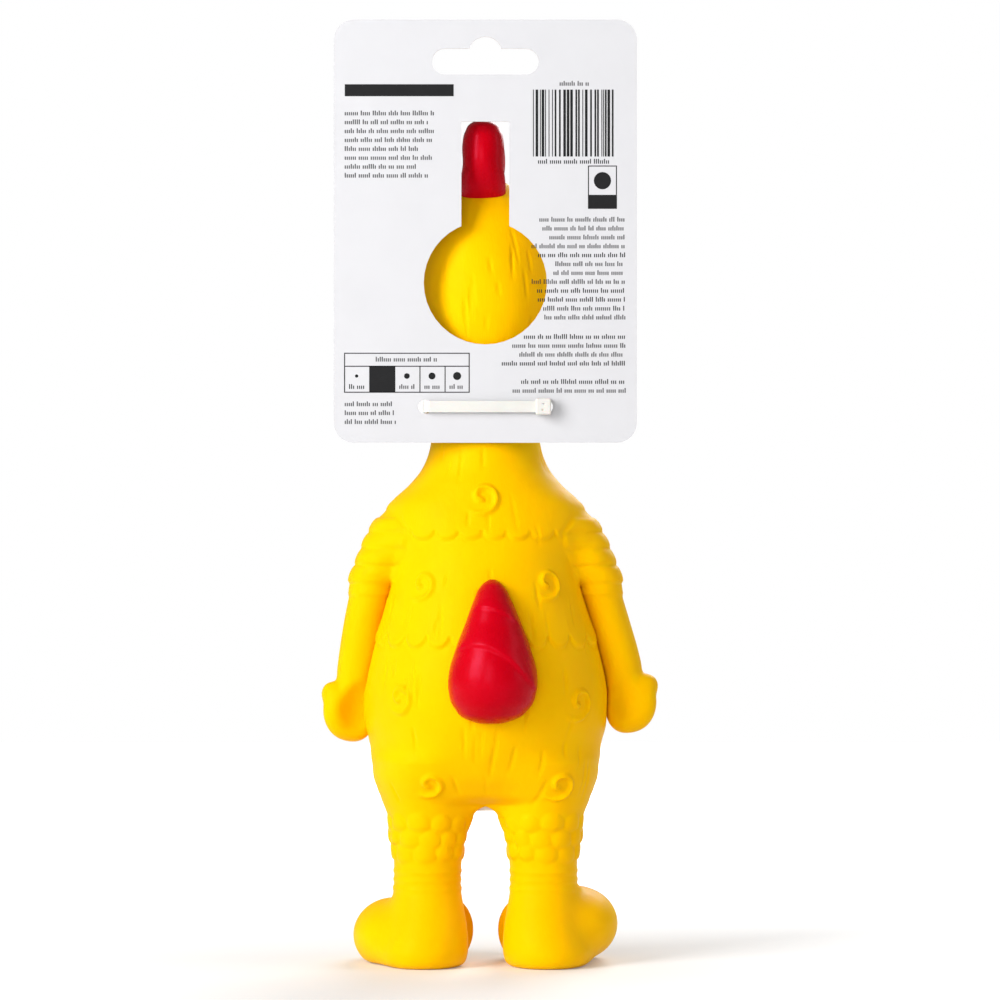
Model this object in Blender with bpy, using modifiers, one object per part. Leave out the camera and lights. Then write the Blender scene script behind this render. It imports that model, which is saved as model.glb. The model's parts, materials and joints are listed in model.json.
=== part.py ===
"""A hollow latex chicken toy standing on its feet, with its squeaker and its tied hang card.

The chicken faces -Y, its left side is at +X, and its soles are at z = 0. Lengths below are in
millimetres and are turned into metres where a mesh is made. A loft is a stack of level ellipses,
each written as (height, centre x, centre y, half width, half depth), from the lowest to the highest.
"""

import math

import bmesh
import bpy
import numpy as np
from mathutils import Matrix, Vector

MM = 0.001
GAP = 0.3  # between faces that touch on the real toy
WALL = 1.8  # thickness of the latex skin
LEFT, RIGHT = 1, -1
SIDE_NAMES = {LEFT: "left", RIGHT: "right"}
BODY_AXIS_Y = -1.0  # moves the body's axis so that the whole object is centred on the frame

# Heights where the moulding is divided into pieces that bend at a joint.
NECK_BASE_Z = 146.0
NECK_TOP_Z = 158.0
SLEEVE_HEM_Z = 115.0
HIP_Z = 45.6
ANKLE_Z = 24.0

# Joint axes.
NECK_PIVOT = (0.0, 0.0, 152.0)
WING_PIVOT = (33.0, -1.0, 121.0)
LEG_PIVOT = (17.3, 0.6, 35.0)
BEAK_PIVOT = (0.0, -22.0, 194.2)
REED_PIVOT_Z = 57.0

TORSO_ROWS = (
    (47.6, 0, -0.5, 17.0, 10.0),
    (49.5, 0, -0.6, 25.0, 16.0),
    (54.0, 0, -1.0, 30.5, 22.0),
    (62.0, 0, -1.6, 34.3, 27.0),
    (72.0, 0, -2.2, 36.9, 30.5),
    (82.0, 0, -2.2, 37.2, 31.5),
    (95.0, 0, -1.8, 35.0, 30.5),
    (110.0, 0, -1.0, 30.8, 27.5),
    (124.0, 0, -0.5, 28.2, 24.0),
    (133.0, 0, -0.2, 30.0, 22.3),
    (140.0, 0, 0, 29.2, 20.5),
    (NECK_BASE_Z - GAP, 0, 0, 23.3, 18.9),
)
THIGH_ROWS = (
    (HIP_Z, 16.8, 0.5, 13.2, 13.2),
    (52.0, 17.2, 0.2, 13.2, 14.5),
    (60.0, 17.4, -0.5, 13.4, 16.0),
)
SHANK_ROWS = (
    (ANKLE_Z + GAP, 17.6, 0.6, 10.4, 10.8),
    (29.7, 17.5, 0.6, 10.5, 11.0),
    (34.5, 17.3, 0.6, 11.1, 11.5),
    (39.0, 17.1, 0.6, 11.9, 12.2),
    (HIP_Z - GAP, 16.8, 0.5, 13.1, 13.1),
)
SOLE_LIFT = 0.3  # height of the heel and toes over the floor, which only the sole's flat touches
SOLE_ROWS = (
    (0.0, 17.5, -4.5, 11.5, 19.0),
    (3.0, 17.5, -4.5, 11.5, 19.0),
)
HEEL_ROWS = (
    (0.0, 15.8, 3.0, 9.0, 13.0),
    (1.6, 15.8, 3.2, 10.6, 14.8),
    (5.0, 15.8, 3.2, 12.0, 16.0),
    (11.0, 15.9, 2.8, 12.4, 15.8),
    (17.0, 16.3, 1.8, 12.0, 14.0),
    (21.0, 17.2, 0.8, 10.9, 11.7),
    (ANKLE_Z, 17.6, 0.6, 10.3, 10.7),
)
TOES = (  # centre, then radii; each reaches below the sole's lift and is cut flat there
    ((29.6, -8.0, 9.4), (10.2, 13.0, 11.0)),
    ((24.5, -18.5, 8.8), (9.6, 13.0, 10.6)),
    ((13.8, -15.5, 8.4), (8.8, 13.5, 10.2)),
)
NECK_ROWS = (
    (NECK_BASE_Z, 0, 0, 23.1, 18.8),
    (150.0, 0, 0, 19.8, 17.2),
    (154.0, 0, 0, 17.8, 16.3),
    (NECK_TOP_Z - GAP, 0, 0, 16.8, 16.0),
)
HEAD_ROWS = (
    (NECK_TOP_Z, 0, 0, 16.7, 16.0),
    (170.0, 0, -0.3, 16.8, 16.1),
    (182.0, 0, -1.2, 18.2, 17.2),
    (190.0, 0, -2.0, 19.5, 18.3),
    (198.0, 0, -2.9, 20.6, 19.3),
    (207.0, 0, -3.4, 21.0, 19.8),
    (216.0, 0, -3.0, 20.4, 19.2),
    (224.0, 0, -2.0, 18.2, 17.4),
    (231.0, 0, -1.2, 14.5, 14.0),
    (236.0, 0, -0.8, 9.6, 9.4),
    (239.0, 0, -0.6, 4.0, 4.0),
)
SLEEVE_ROWS = (
    (SLEEVE_HEM_Z, 35.6, -1.2, 5.8, 7.5),
    (118.6, 33.6, -1.1, 7.0, 8.2),
    (123.0, 31.0, -0.9, 8.3, 9.0),
    (128.0, 28.2, -0.8, 9.4, 9.5),
    (133.0, 26.0, -0.6, 9.4, 9.2),
    (136.0, 25.0, -0.5, 8.4, 8.2),
    (138.3, 24.2, -0.5, 5.4, 5.6),
)
WING_ROWS = (
    (70.0, 43.4, -3.0, 2.4, 2.6),
    (72.3, 43.9, -3.0, 5.0, 5.0),
    (76.0, 44.5, -3.0, 6.4, 6.0),
    (81.0, 44.8, -3.0, 6.8, 6.4),
    (86.0, 43.9, -3.0, 6.2, 6.4),
    (90.0, 42.1, -2.8, 5.3, 6.4),
    (94.5, 40.8, -2.5, 4.7, 6.4),
    (99.0, 39.6, -2.2, 4.7, 6.5),
    (106.5, 37.9, -1.7, 4.8, 6.8),
    (111.0, 36.9, -1.4, 5.0, 7.0),
    (SLEEVE_HEM_Z - GAP, 36.2, -1.2, 5.2, 7.4),
)
TAIL_ROWS = (
    (74.6, 0, 28.0, 3.0, 4.0),
    (76.0, 0, 28.0, 7.2, 7.4),
    (79.0, 0, 28.0, 10.8, 11.0),
    (84.0, 0, 28.0, 13.0, 13.5),
    (90.0, 0, 28.0, 13.0, 14.0),
    (97.0, 0, 28.0, 11.0, 12.5),
    (105.0, 0, 27.5, 7.8, 9.5),
    (112.0, 0, 27.0, 4.6, 6.0),
    (117.3, 0, 26.0, 1.6, 2.6),
)
COMB_LOBES = (  # centre, then radii, from the back of the head to the front
    ((0, 8.5, 244.0), (6.7, 6.5, 12.6)),
    ((0, -2.0, 244.5), (6.3, 7.2, 13.0)),
    ((0, -12.0, 237.0), (5.2, 6.2, 10.0)),
)

BEAK_Z = 199.4
BEAK_ROOT_Y = -21.0
UPPER_BEAK_RADII = (8.6, 19.0, 8.0)
LOWER_BEAK_RADII = (7.0, 14.0, 5.2)
BEAK_BLOCK = 50.0  # side of the block that cuts either half flat
EYE_CENTRE = (7.9, -17.4, 213.0)
EYE_RADII = (7.2, 7.0, 7.6)
PUPIL_CENTRE = (7.3, -24.5, 213.2)
PUPIL_RADII = (2.7, 1.7, 2.9)
WATTLE_CENTRE = (4.3, -20.6, 187.0)
WATTLE_RADII = (3.9, 4.0, 8.0)

# Squeaker: a plastic cup plugged in the torso's underside between the legs, its mouth down.
SQUEAKER_Y = -2.0
CUP_RADIUS = 8.0
CUP_WALL = 1.2
CUP_TOP_Z = 61.0
CUP_MOUTH_Z = 47.2
FLANGE_RADIUS = 9.6
FLANGE_THICK = 1.4
FLANGE_Z = 50.0
CAP_THICK = 1.2
CAP_HOLE_RADIUS = 1.0
CAP_HOLE_RING = 5.0
CAP_HOLES = 6
CAP_CUT = 4.0  # height of what cuts the cap's holes
SEAT_CUT = 12.0  # height of what cuts the cup's seat in the skin
HOLDER_RADIUS = 3.0
HOLDER_BASE_Z = 52.0
HOLDER_TOP_Z = 66.0
HOLDER_BORE = 1.4
REED_WIDTH = 2.0
REED_THICK = 0.35

# Hang card, tied against the back of the neck.
CARD_WIDTH = 91.0
CARD_HEIGHT = 127.0
CARD_THICK = 0.55
CARD_CORNER = 6.0
PUNCH_DEPTH = 4.4
CARD_FRONT_Y = 17.5
CARD_BOTTOM_Z = 158.6
KEYHOLE_Z = 206.6
KEYHOLE_RADIUS = 18.5
KEYHOLE_SLOT_WIDTH = 14.4
KEYHOLE_TOP_Z = 255.0
HANG_SLOT_WIDTH = 32.0
HANG_SLOT_HEIGHT = 7.8
HANG_SLOT_Z = 273.0
HANG_SLOT_FLAT = 0.02  # straight stretch in the middle of each round end
HANG_BUMP_RADIUS = 5.0
HANG_BUMP_Z = 275.5
TIE_Z = 169.4
TIE_HOLE_X = 18.1
TIE_HOLE_RADIUS = 2.2

# Flat nylon tie through the card's two holes and round the neck.
TIE_WIDTH = 3.4
TIE_THICK = 1.0
TIE_FRONT_DEPTH = 17.5
TIE_BACK_Y = 18.8
TIE_CORNER = 1.4
TIE_FRONT_STEPS = 20
TIE_CORNER_STEPS = 4
TIE_HEAD_SIZE = (4.4, 3.2, 4.8)
TIE_HEAD_X = -15.6
TIE_HEAD_ROUNDING = 0.4

# How finely the lofts are divided: sides round a ring, and the most height between two rings.
BODY_SIDES = 22
BODY_SPACING = 8.0
LIMB_SIDES = 14
LIMB_SPACING = 6.0
# Segments and rings of an ellipsoid, and sides of a round piece or hole.
ELLIPSOID_FACETS = (12, 8)
BEAK_FACETS = (14, 9)
PUPIL_FACETS = (10, 6)
ROUND_SIDES = 24
KEYHOLE_SIDES = 40
HOLDER_SIDES = 16
SMALL_HOLE_SIDES = 14
CORNER_STEPS = 6

FLOOR_BLOCK = (200.0, 200.0, 20.0)  # cuts the heels and toes flat
MERGE_DISTANCE = 0.00001
EMPTY_SIZE = 10.0
SHARP_ANGLE = 40.0

YELLOW = (0.95, 0.62, 0.0)
RED = (0.80, 0.01, 0.02)
ORANGE = (0.90, 0.25, 0.01)
WHITE = (0.90, 0.90, 0.88)
BLACK = (0.01, 0.01, 0.01)
PALE_PLASTIC = (0.85, 0.84, 0.80)
FILM = (0.75, 0.80, 0.82)

PARTS = "rubber_chicken"
CUTTERS = "cutters"


def clear_scene():
    for obj in list(bpy.data.objects):
        bpy.data.objects.remove(obj)


def new_collection(name):
    collection = bpy.data.collections.new(name)
    bpy.context.scene.collection.children.link(collection)
    return collection


def material(name, color, roughness=0.45, metallic=0.0):
    made = bpy.data.materials.get(name)
    if made:
        return made
    made = bpy.data.materials.new(name)
    made.use_nodes = True
    shader = made.node_tree.nodes["Principled BSDF"]
    shader.inputs["Base Color"].default_value = (*color, 1.0)
    shader.inputs["Roughness"].default_value = roughness
    shader.inputs["Metallic"].default_value = metallic
    return made


def new_object(name, bm, collection=CUTTERS):
    """Makes an object of a mesh drawn in millimetres. A cutter is drawn as a wire and never rendered."""
    bmesh.ops.scale(bm, vec=Vector((MM, MM, MM)), verts=bm.verts)
    mesh = bpy.data.meshes.new(name)
    bm.to_mesh(mesh)
    bm.free()
    obj = bpy.data.objects.new(name, mesh)
    bpy.data.collections[collection].objects.link(obj)
    if collection == CUTTERS:
        obj.hide_render = True
        obj.display_type = "WIRE"
    return obj


def new_part(name, bm, finish):
    obj = new_object(name, bm, PARTS)
    obj.data.materials.append(finish)
    return obj


def empty_at(name, place, parent=None):
    """An empty on a joint's axis, or the frame that the whole body hangs from."""
    empty = bpy.data.objects.new(name, None)
    bpy.data.collections[PARTS].objects.link(empty)
    empty.empty_display_size = EMPTY_SIZE * MM
    empty.location = Vector(place) * MM
    if parent:
        empty.parent = parent
        empty.location -= parent.location
    return empty


def hang(obj, empty, root):
    """Parents a part to its joint's empty and moves its mesh back by as much, so it stays in place."""
    pivot = empty.location if empty.parent == root else Vector((0, 0, 0))
    obj.data.transform(Matrix.Translation(-pivot))
    obj.parent = empty


def mirrored(place, side):
    return (place[0] * side, *place[1:])


def mirrored_rows(rows, side):
    return tuple((z, x * side, y, half_width, half_depth) for z, x, y, half_width, half_depth in rows)


def hermite(at, z, value):
    """Values at the given heights, on a smooth curve through (z, value)."""
    slope = np.gradient(value, z)
    below = np.clip(np.searchsorted(z, at) - 1, 0, len(z) - 2)
    span = z[below + 1] - z[below]
    t = (at - z[below]) / span
    start = (1 + 2 * t) * (1 - t) ** 2 * value[below] + t * (1 - t) ** 2 * span * slope[below]
    end = t * t * (3 - 2 * t) * value[below + 1] + t * t * (t - 1) * span * slope[below + 1]
    return start + end


def smooth_rows(rows, spacing):
    """The rows of a loft with more between them, at most the spacing apart."""
    table = np.array(rows, float)
    z = table[:, 0]
    heights = [z[0]]
    for low, high in zip(z, z[1:]):
        steps = max(1, math.ceil((high - low) / spacing))
        heights += [low + (high - low) * i / steps for i in range(1, steps + 1)]
    heights = np.array(heights)
    columns = [hermite(heights, z, table[:, i]) for i in range(1, table.shape[1])]
    return list(zip(heights, *columns))


def inset(rows, wall, open_bottom=False, open_top=False):
    """The hollow inside a loft: closed ends lie one wall inside it, and open ends reach past it."""
    inner = [(z, x, y, half_width - wall, half_depth - wall) for z, x, y, half_width, half_depth in rows]
    bottom, top = inner[0], inner[-1]
    low = bottom[0] - wall if open_bottom else bottom[0] + wall
    high = top[0] + wall if open_top else top[0] - wall
    inner = [row for row in inner[1:-1] if low < row[0] < high]
    return [(low, *bottom[1:]), *inner, (high, *top[1:])]


def loft_mesh(rows, sides=BODY_SIDES, spacing=BODY_SPACING):
    """Level ellipses joined into one closed surface, which no primitive or turned profile makes."""
    bm = bmesh.new()
    angles = [2 * math.pi * i / sides for i in range(sides)]
    loops = []
    for z, x, y, half_width, half_depth in smooth_rows(rows, spacing):
        loop = []
        for angle in angles:
            place = (x + half_width * math.cos(angle), y + half_depth * math.sin(angle), z)
            loop.append(bm.verts.new(place))
        loops.append(loop)
    for low, high in zip(loops, loops[1:]):
        for i in range(sides):
            j = (i + 1) % sides
            bm.faces.new((low[i], low[j], high[j], high[i]))
    bm.faces.new(reversed(loops[0]))
    bm.faces.new(loops[-1])
    return bm


def limb_mesh(rows):
    return loft_mesh(rows, LIMB_SIDES, LIMB_SPACING)


def ellipsoid_mesh(centre, radii, facets=ELLIPSOID_FACETS):
    bm = bmesh.new()
    segments, rings = facets
    bmesh.ops.create_uvsphere(bm, u_segments=segments, v_segments=rings, radius=1.0)
    bmesh.ops.scale(bm, vec=Vector(radii), verts=bm.verts)
    bmesh.ops.translate(bm, vec=Vector(centre), verts=bm.verts)
    return bm


def mirrored_mesh(bm, side):
    """A left-hand mesh on the given side, vertex for vertex, so that joins come out alike on both."""
    if side == RIGHT:
        bmesh.ops.scale(bm, vec=Vector((-1, 1, 1)), verts=bm.verts)
        bmesh.ops.reverse_faces(bm, faces=bm.faces)
    return bm


def box_mesh(centre, size):
    bm = bmesh.new()
    bmesh.ops.create_cube(bm, size=1.0)
    bmesh.ops.scale(bm, vec=Vector(size), verts=bm.verts)
    bmesh.ops.translate(bm, vec=Vector(centre), verts=bm.verts)
    return bm


def cylinder_mesh(centre, radius, height, segments=ROUND_SIDES, along_y=False):
    bm = bmesh.new()
    bmesh.ops.create_cone(
        bm, cap_ends=True, segments=segments, radius1=radius, radius2=radius, depth=height
    )
    if along_y:
        bmesh.ops.rotate(bm, verts=bm.verts, cent=(0, 0, 0), matrix=Matrix.Rotation(math.pi / 2, 3, "X"))
    bmesh.ops.translate(bm, vec=Vector(centre), verts=bm.verts)
    return bm


def grown(radii, by):
    return tuple(radius + by for radius in radii)


def boolean(obj, other, operation="DIFFERENCE"):
    modifier = obj.modifiers.new(f"{operation.lower()}_{other.name}", "BOOLEAN")
    modifier.operation = operation
    modifier.solver = "EXACT"
    modifier.object = other


def smooth_shaded(obj):
    obj.data.shade_smooth()
    obj.data.set_sharp_from_angle(angle=math.radians(SHARP_ANGLE))


def body_cutters():
    """Outer forms, a gap larger all round, that shape what lies against the torso and the head."""
    return {
        "torso": new_object("torso_outside", loft_mesh(inset(TORSO_ROWS, -GAP))),
        "head": new_object("head_outside", loft_mesh(inset(HEAD_ROWS, -GAP))),
    }


def add_torso(latex, hollows):
    torso = new_part("torso_shell", loft_mesh(TORSO_ROWS), latex)
    for side in (LEFT, RIGHT):
        rows = mirrored_rows(THIGH_ROWS, side)
        thigh = new_object(f"{SIDE_NAMES[side]}_thigh_outside", limb_mesh(rows))
        boolean(torso, thigh, "UNION")
    inside = new_object("torso_inside", loft_mesh(inset(TORSO_ROWS, WALL, open_top=True)))
    boolean(torso, inside)
    for side in (LEFT, RIGHT):
        rows = inset(mirrored_rows(THIGH_ROWS, side), WALL, open_bottom=True)
        boolean(torso, new_object(f"{SIDE_NAMES[side]}_thigh_inside", limb_mesh(rows)))
    for hollow in hollows:
        boolean(torso, hollow)
    seat = cylinder_mesh((0, SQUEAKER_Y, CUP_MOUTH_Z), CUP_RADIUS + GAP, SEAT_CUT)
    boolean(torso, new_object("squeaker_seat", seat))
    return torso


def add_tube(name, rows, latex, mesh=loft_mesh):
    """A stretch of the moulding that is open at both ends."""
    tube = new_part(name, mesh(rows), latex)
    bore = mesh(inset(rows, WALL, open_bottom=True, open_top=True))
    boolean(tube, new_object(f"{name}_inside", bore))
    return tube


def add_head(latex):
    head = new_part("head_shell", loft_mesh(HEAD_ROWS), latex)
    inside = loft_mesh(inset(HEAD_ROWS, WALL, open_bottom=True))
    boolean(head, new_object("head_inside", inside))
    return head


def add_sleeve(side, latex, torso_outside):
    """The ringed upper arm, which bends between the torso and the wing. Returns it and its hollow."""
    name = f"{SIDE_NAMES[side]}_sleeve"
    rows = mirrored_rows(SLEEVE_ROWS, side)
    sleeve = new_part(name, limb_mesh(rows), latex)
    hollow = new_object(f"{name}_inside", limb_mesh(inset(rows, WALL, open_bottom=True)))
    boolean(sleeve, hollow)
    boolean(sleeve, torso_outside)
    return sleeve, hollow


def add_wing(side, latex):
    name = f"{SIDE_NAMES[side]}_wing"
    rows = mirrored_rows(WING_ROWS, side)
    wing = new_part(name, limb_mesh(rows), latex)
    inside = inset(rows[1:], WALL, open_top=True)
    boolean(wing, new_object(f"{name}_inside", limb_mesh(inside)))
    return wing


def add_foot(side, latex, floor):
    name = f"{SIDE_NAMES[side]}_foot"
    rows = mirrored_rows(HEEL_ROWS, side)
    foot = new_part(name, limb_mesh(rows), latex)
    for number, (centre, radii) in enumerate(TOES):
        toe = mirrored_mesh(ellipsoid_mesh(centre, radii), side)
        boolean(foot, new_object(f"{name}_toe_{number}", toe), "UNION")
    boolean(foot, floor)
    sole = limb_mesh(mirrored_rows(SOLE_ROWS, side))
    boolean(foot, new_object(f"{name}_sole", sole), "UNION")
    hollow = limb_mesh(inset(rows[1:], WALL, open_top=True))
    boolean(foot, new_object(f"{name}_inside", hollow))
    return foot


def add_tail(latex_red, torso_outside):
    """A hollow teardrop, open to the torso. Returns it and its hollow."""
    tail = new_part("tail", limb_mesh(TAIL_ROWS), latex_red)
    hollow = new_object("tail_inside", limb_mesh(inset(TAIL_ROWS[1:-1], WALL)))
    boolean(tail, hollow)
    boolean(tail, torso_outside)
    return tail, hollow


def add_comb(latex_red, head_outside):
    (centre, radii), *others = COMB_LOBES
    comb = new_part("comb", ellipsoid_mesh(centre, radii), latex_red)
    for number, (lobe_centre, lobe_radii) in enumerate(others):
        lobe = new_object(f"comb_lobe_{number}", ellipsoid_mesh(lobe_centre, lobe_radii))
        boolean(comb, lobe, "UNION")
    boolean(comb, head_outside)
    return comb


def add_beak(latex_orange, head_outside):
    """Upper and lower halves that meet at a flat mouth line, a gap apart."""
    halves = []
    for name, radii, keep in (("upper_beak", UPPER_BEAK_RADII, 1), ("lower_beak", LOWER_BEAK_RADII, -1)):
        mouth_z = BEAK_Z + keep * GAP / 2
        form = ellipsoid_mesh((0, BEAK_ROOT_Y, mouth_z), radii, BEAK_FACETS)
        half = new_part(name, form, latex_orange)
        other_half = box_mesh((0, BEAK_ROOT_Y, mouth_z - keep * BEAK_BLOCK / 2), (BEAK_BLOCK,) * 3)
        boolean(half, new_object(f"{name}_other_half", other_half))
        boolean(half, head_outside)
        halves.append(half)
    return halves


def add_eye(side, white, black, head_outside):
    name = SIDE_NAMES[side]
    centre = mirrored(EYE_CENTRE, side)
    eye = new_part(f"{name}_eye", ellipsoid_mesh(centre, EYE_RADII), white)
    boolean(eye, head_outside)
    pupil_mesh = ellipsoid_mesh(mirrored(PUPIL_CENTRE, side), PUPIL_RADII, PUPIL_FACETS)
    pupil = new_part(f"{name}_pupil", pupil_mesh, black)
    eye_outside = ellipsoid_mesh(centre, grown(EYE_RADII, GAP))
    boolean(pupil, new_object(f"{name}_eye_outside", eye_outside))
    return eye, pupil


def add_wattle(side, latex_red, head_outside):
    centre = mirrored(WATTLE_CENTRE, side)
    wattle = new_part(f"{SIDE_NAMES[side]}_wattle", ellipsoid_mesh(centre, WATTLE_RADII), latex_red)
    boolean(wattle, head_outside)
    return wattle


def turned_part(name, profile, finish, steps=ROUND_SIDES):
    """A turned piece about the squeaker's axis. The profile runs down its outer side and up its bore."""
    bm = bmesh.new()
    points = [bm.verts.new((radius, 0, z)) for radius, z in profile]
    for start, end in zip(points, points[1:] + points[:1]):
        bm.edges.new((start, end))
    obj = new_part(name, bm, finish)
    obj.location = Vector((0, SQUEAKER_Y, 0)) * MM
    screw = obj.modifiers.new("turn", "SCREW")
    screw.steps = steps
    screw.render_steps = steps
    screw.use_merge_vertices = True
    screw.merge_threshold = MERGE_DISTANCE
    return obj


def add_squeaker(plastic, film):
    """Cup, perforated cap, reed tube and reed: the plug that whistles when air leaves the body."""
    bore = CUP_RADIUS - CUP_WALL
    cup = turned_part(
        "squeaker_cup",
        (
            (CUP_RADIUS, CUP_TOP_Z),
            (CUP_RADIUS, FLANGE_Z + FLANGE_THICK),
            (FLANGE_RADIUS, FLANGE_Z + FLANGE_THICK),
            (FLANGE_RADIUS, FLANGE_Z),
            (CUP_RADIUS, FLANGE_Z),
            (CUP_RADIUS, CUP_MOUTH_Z),
            (bore, CUP_MOUTH_Z),
            (bore, CUP_TOP_Z),
        ),
        plastic,
    )
    cap_z = CUP_TOP_Z - CAP_THICK / 2 - GAP
    cap = new_part("squeaker_cap", cylinder_mesh((0, SQUEAKER_Y, cap_z), bore - GAP, CAP_THICK), plastic)
    tube_hole = cylinder_mesh((0, SQUEAKER_Y, cap_z), HOLDER_RADIUS + GAP, CAP_CUT, HOLDER_SIDES)
    boolean(cap, new_object("cap_tube_hole", tube_hole))
    for number in range(CAP_HOLES):
        angle = 2 * math.pi * number / CAP_HOLES
        place = (
            CAP_HOLE_RING * math.cos(angle),
            SQUEAKER_Y + CAP_HOLE_RING * math.sin(angle),
            cap_z,
        )
        hole = cylinder_mesh(place, CAP_HOLE_RADIUS, CAP_CUT, SMALL_HOLE_SIDES)
        boolean(cap, new_object(f"cap_hole_{number}", hole))
    holder = turned_part(
        "reed_tube",
        (
            (HOLDER_RADIUS, HOLDER_TOP_Z),
            (HOLDER_RADIUS, HOLDER_BASE_Z),
            (HOLDER_BORE, HOLDER_BASE_Z),
            (HOLDER_BORE, HOLDER_TOP_Z),
        ),
        plastic,
        HOLDER_SIDES,
    )
    reed_length = HOLDER_TOP_Z - REED_PIVOT_Z
    reed_place = (0, SQUEAKER_Y, REED_PIVOT_Z + reed_length / 2)
    reed = new_part("squeaker_reed", box_mesh(reed_place, (REED_WIDTH, REED_THICK, reed_length)), film)
    return cup, cap, holder, reed


def card_outline(half_width, low, high, radius):
    """The points of an upright rectangle with round corners, anticlockwise."""
    points = []
    corners = ((1, high, 0), (-1, high, 1), (-1, low, 2), (1, low, 3))
    for side, z, quarter in corners:
        middle = (side * (half_width - radius), z - radius if z == high else z + radius)
        for step in range(CORNER_STEPS + 1):
            angle = math.pi / 2 * (quarter + step / CORNER_STEPS)
            points.append((middle[0] + radius * math.cos(angle), middle[1] + radius * math.sin(angle)))
    return points


def plate_mesh(points, centre_y, thickness):
    """A flat upright plate of this outline, as thick as asked."""
    bm = bmesh.new()
    rim = [bm.verts.new((x, centre_y + thickness / 2, z)) for x, z in points]
    face = bm.faces.new(rim)
    pushed = bmesh.ops.extrude_face_region(bm, geom=[face])
    moved = [item for item in pushed["geom"] if isinstance(item, bmesh.types.BMVert)]
    bmesh.ops.translate(bm, vec=Vector((0, -thickness, 0)), verts=moved)
    bmesh.ops.recalc_face_normals(bm, faces=bm.faces[:])
    return bm


def add_card(paper):
    """The header card, with its keyhole, hang slot and two tie holes punched through."""
    centre_y = CARD_FRONT_Y + CARD_THICK / 2
    top = CARD_BOTTOM_Z + CARD_HEIGHT
    outline = card_outline(CARD_WIDTH / 2, CARD_BOTTOM_Z, top, CARD_CORNER)
    card = new_part("hang_card", plate_mesh(outline, centre_y, CARD_THICK), paper)
    punches = {
        "keyhole_round": cylinder_mesh(
            (0, centre_y, KEYHOLE_Z), KEYHOLE_RADIUS, PUNCH_DEPTH, KEYHOLE_SIDES, True
        ),
        "keyhole_slot": box_mesh(
            (0, centre_y, (KEYHOLE_Z + KEYHOLE_TOP_Z) / 2),
            (KEYHOLE_SLOT_WIDTH, PUNCH_DEPTH, KEYHOLE_TOP_Z - KEYHOLE_Z),
        ),
        "hang_slot": plate_mesh(
            card_outline(
                HANG_SLOT_WIDTH / 2,
                HANG_SLOT_Z - HANG_SLOT_HEIGHT / 2,
                HANG_SLOT_Z + HANG_SLOT_HEIGHT / 2,
                (HANG_SLOT_HEIGHT - HANG_SLOT_FLAT) / 2,
            ),
            centre_y,
            PUNCH_DEPTH,
        ),
        "hang_bump": cylinder_mesh(
            (0, centre_y, HANG_BUMP_Z), HANG_BUMP_RADIUS, PUNCH_DEPTH, along_y=True
        ),
    }
    for side in (LEFT, RIGHT):
        place = (side * TIE_HOLE_X, centre_y, TIE_Z)
        hole = cylinder_mesh(place, TIE_HOLE_RADIUS, PUNCH_DEPTH, SMALL_HOLE_SIDES, True)
        punches[f"{SIDE_NAMES[side]}_tie_hole"] = hole
    for name, bm in punches.items():
        boolean(card, new_object(name, bm))
    return card


def tie_loop(outward):
    """The tie's path seen from above, this far outside its inner face: round the neck's front, then
    straight back through the card's holes and across its back."""
    half_width = TIE_HOLE_X - TIE_THICK / 2 + outward
    front_depth = TIE_FRONT_DEPTH - TIE_THICK / 2 + outward
    back = TIE_BACK_Y + outward
    corner = TIE_CORNER - TIE_THICK / 2 + outward
    points = []
    for step in range(TIE_FRONT_STEPS + 1):
        angle = math.pi + math.pi * step / TIE_FRONT_STEPS
        points.append((half_width * math.cos(angle), front_depth * math.sin(angle)))
    for side, quarter in ((1, 0), (-1, 1)):
        for step in range(TIE_CORNER_STEPS + 1):
            angle = math.pi / 2 * (quarter + step / TIE_CORNER_STEPS)
            x = side * (half_width - corner) + corner * math.cos(angle)
            points.append((x, back - corner + corner * math.sin(angle)))
    return points


def add_tie(nylon):
    """The strap as a flat outline with its inner outline as a hole, and the lock block on the card."""
    curve = bpy.data.curves.new("tie_strap", "CURVE")
    curve.dimensions = "2D"
    curve.fill_mode = "BOTH"
    curve.extrude = TIE_WIDTH / 2 * MM
    for outward in (0.0, TIE_THICK):
        points = tie_loop(outward)
        spline = curve.splines.new("POLY")
        spline.points.add(len(points) - 1)
        for point, (x, y) in zip(spline.points, points):
            point.co = (x * MM, y * MM, 0, 1)
        spline.use_cyclic_u = True
    strap = bpy.data.objects.new("tie_strap", curve)
    bpy.data.collections[PARTS].objects.link(strap)
    strap.data.materials.append(nylon)
    strap.location = Vector((0, 0, TIE_Z)) * MM
    width, depth, height = TIE_HEAD_SIZE
    head_y = TIE_BACK_Y + TIE_THICK + GAP + depth / 2
    head = new_part("tie_head", box_mesh((TIE_HEAD_X, head_y, TIE_Z), TIE_HEAD_SIZE), nylon)
    bevel = head.modifiers.new("rounding", "BEVEL")
    bevel.width = TIE_HEAD_ROUNDING * MM
    bevel.segments = 2
    return strap, head


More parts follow.
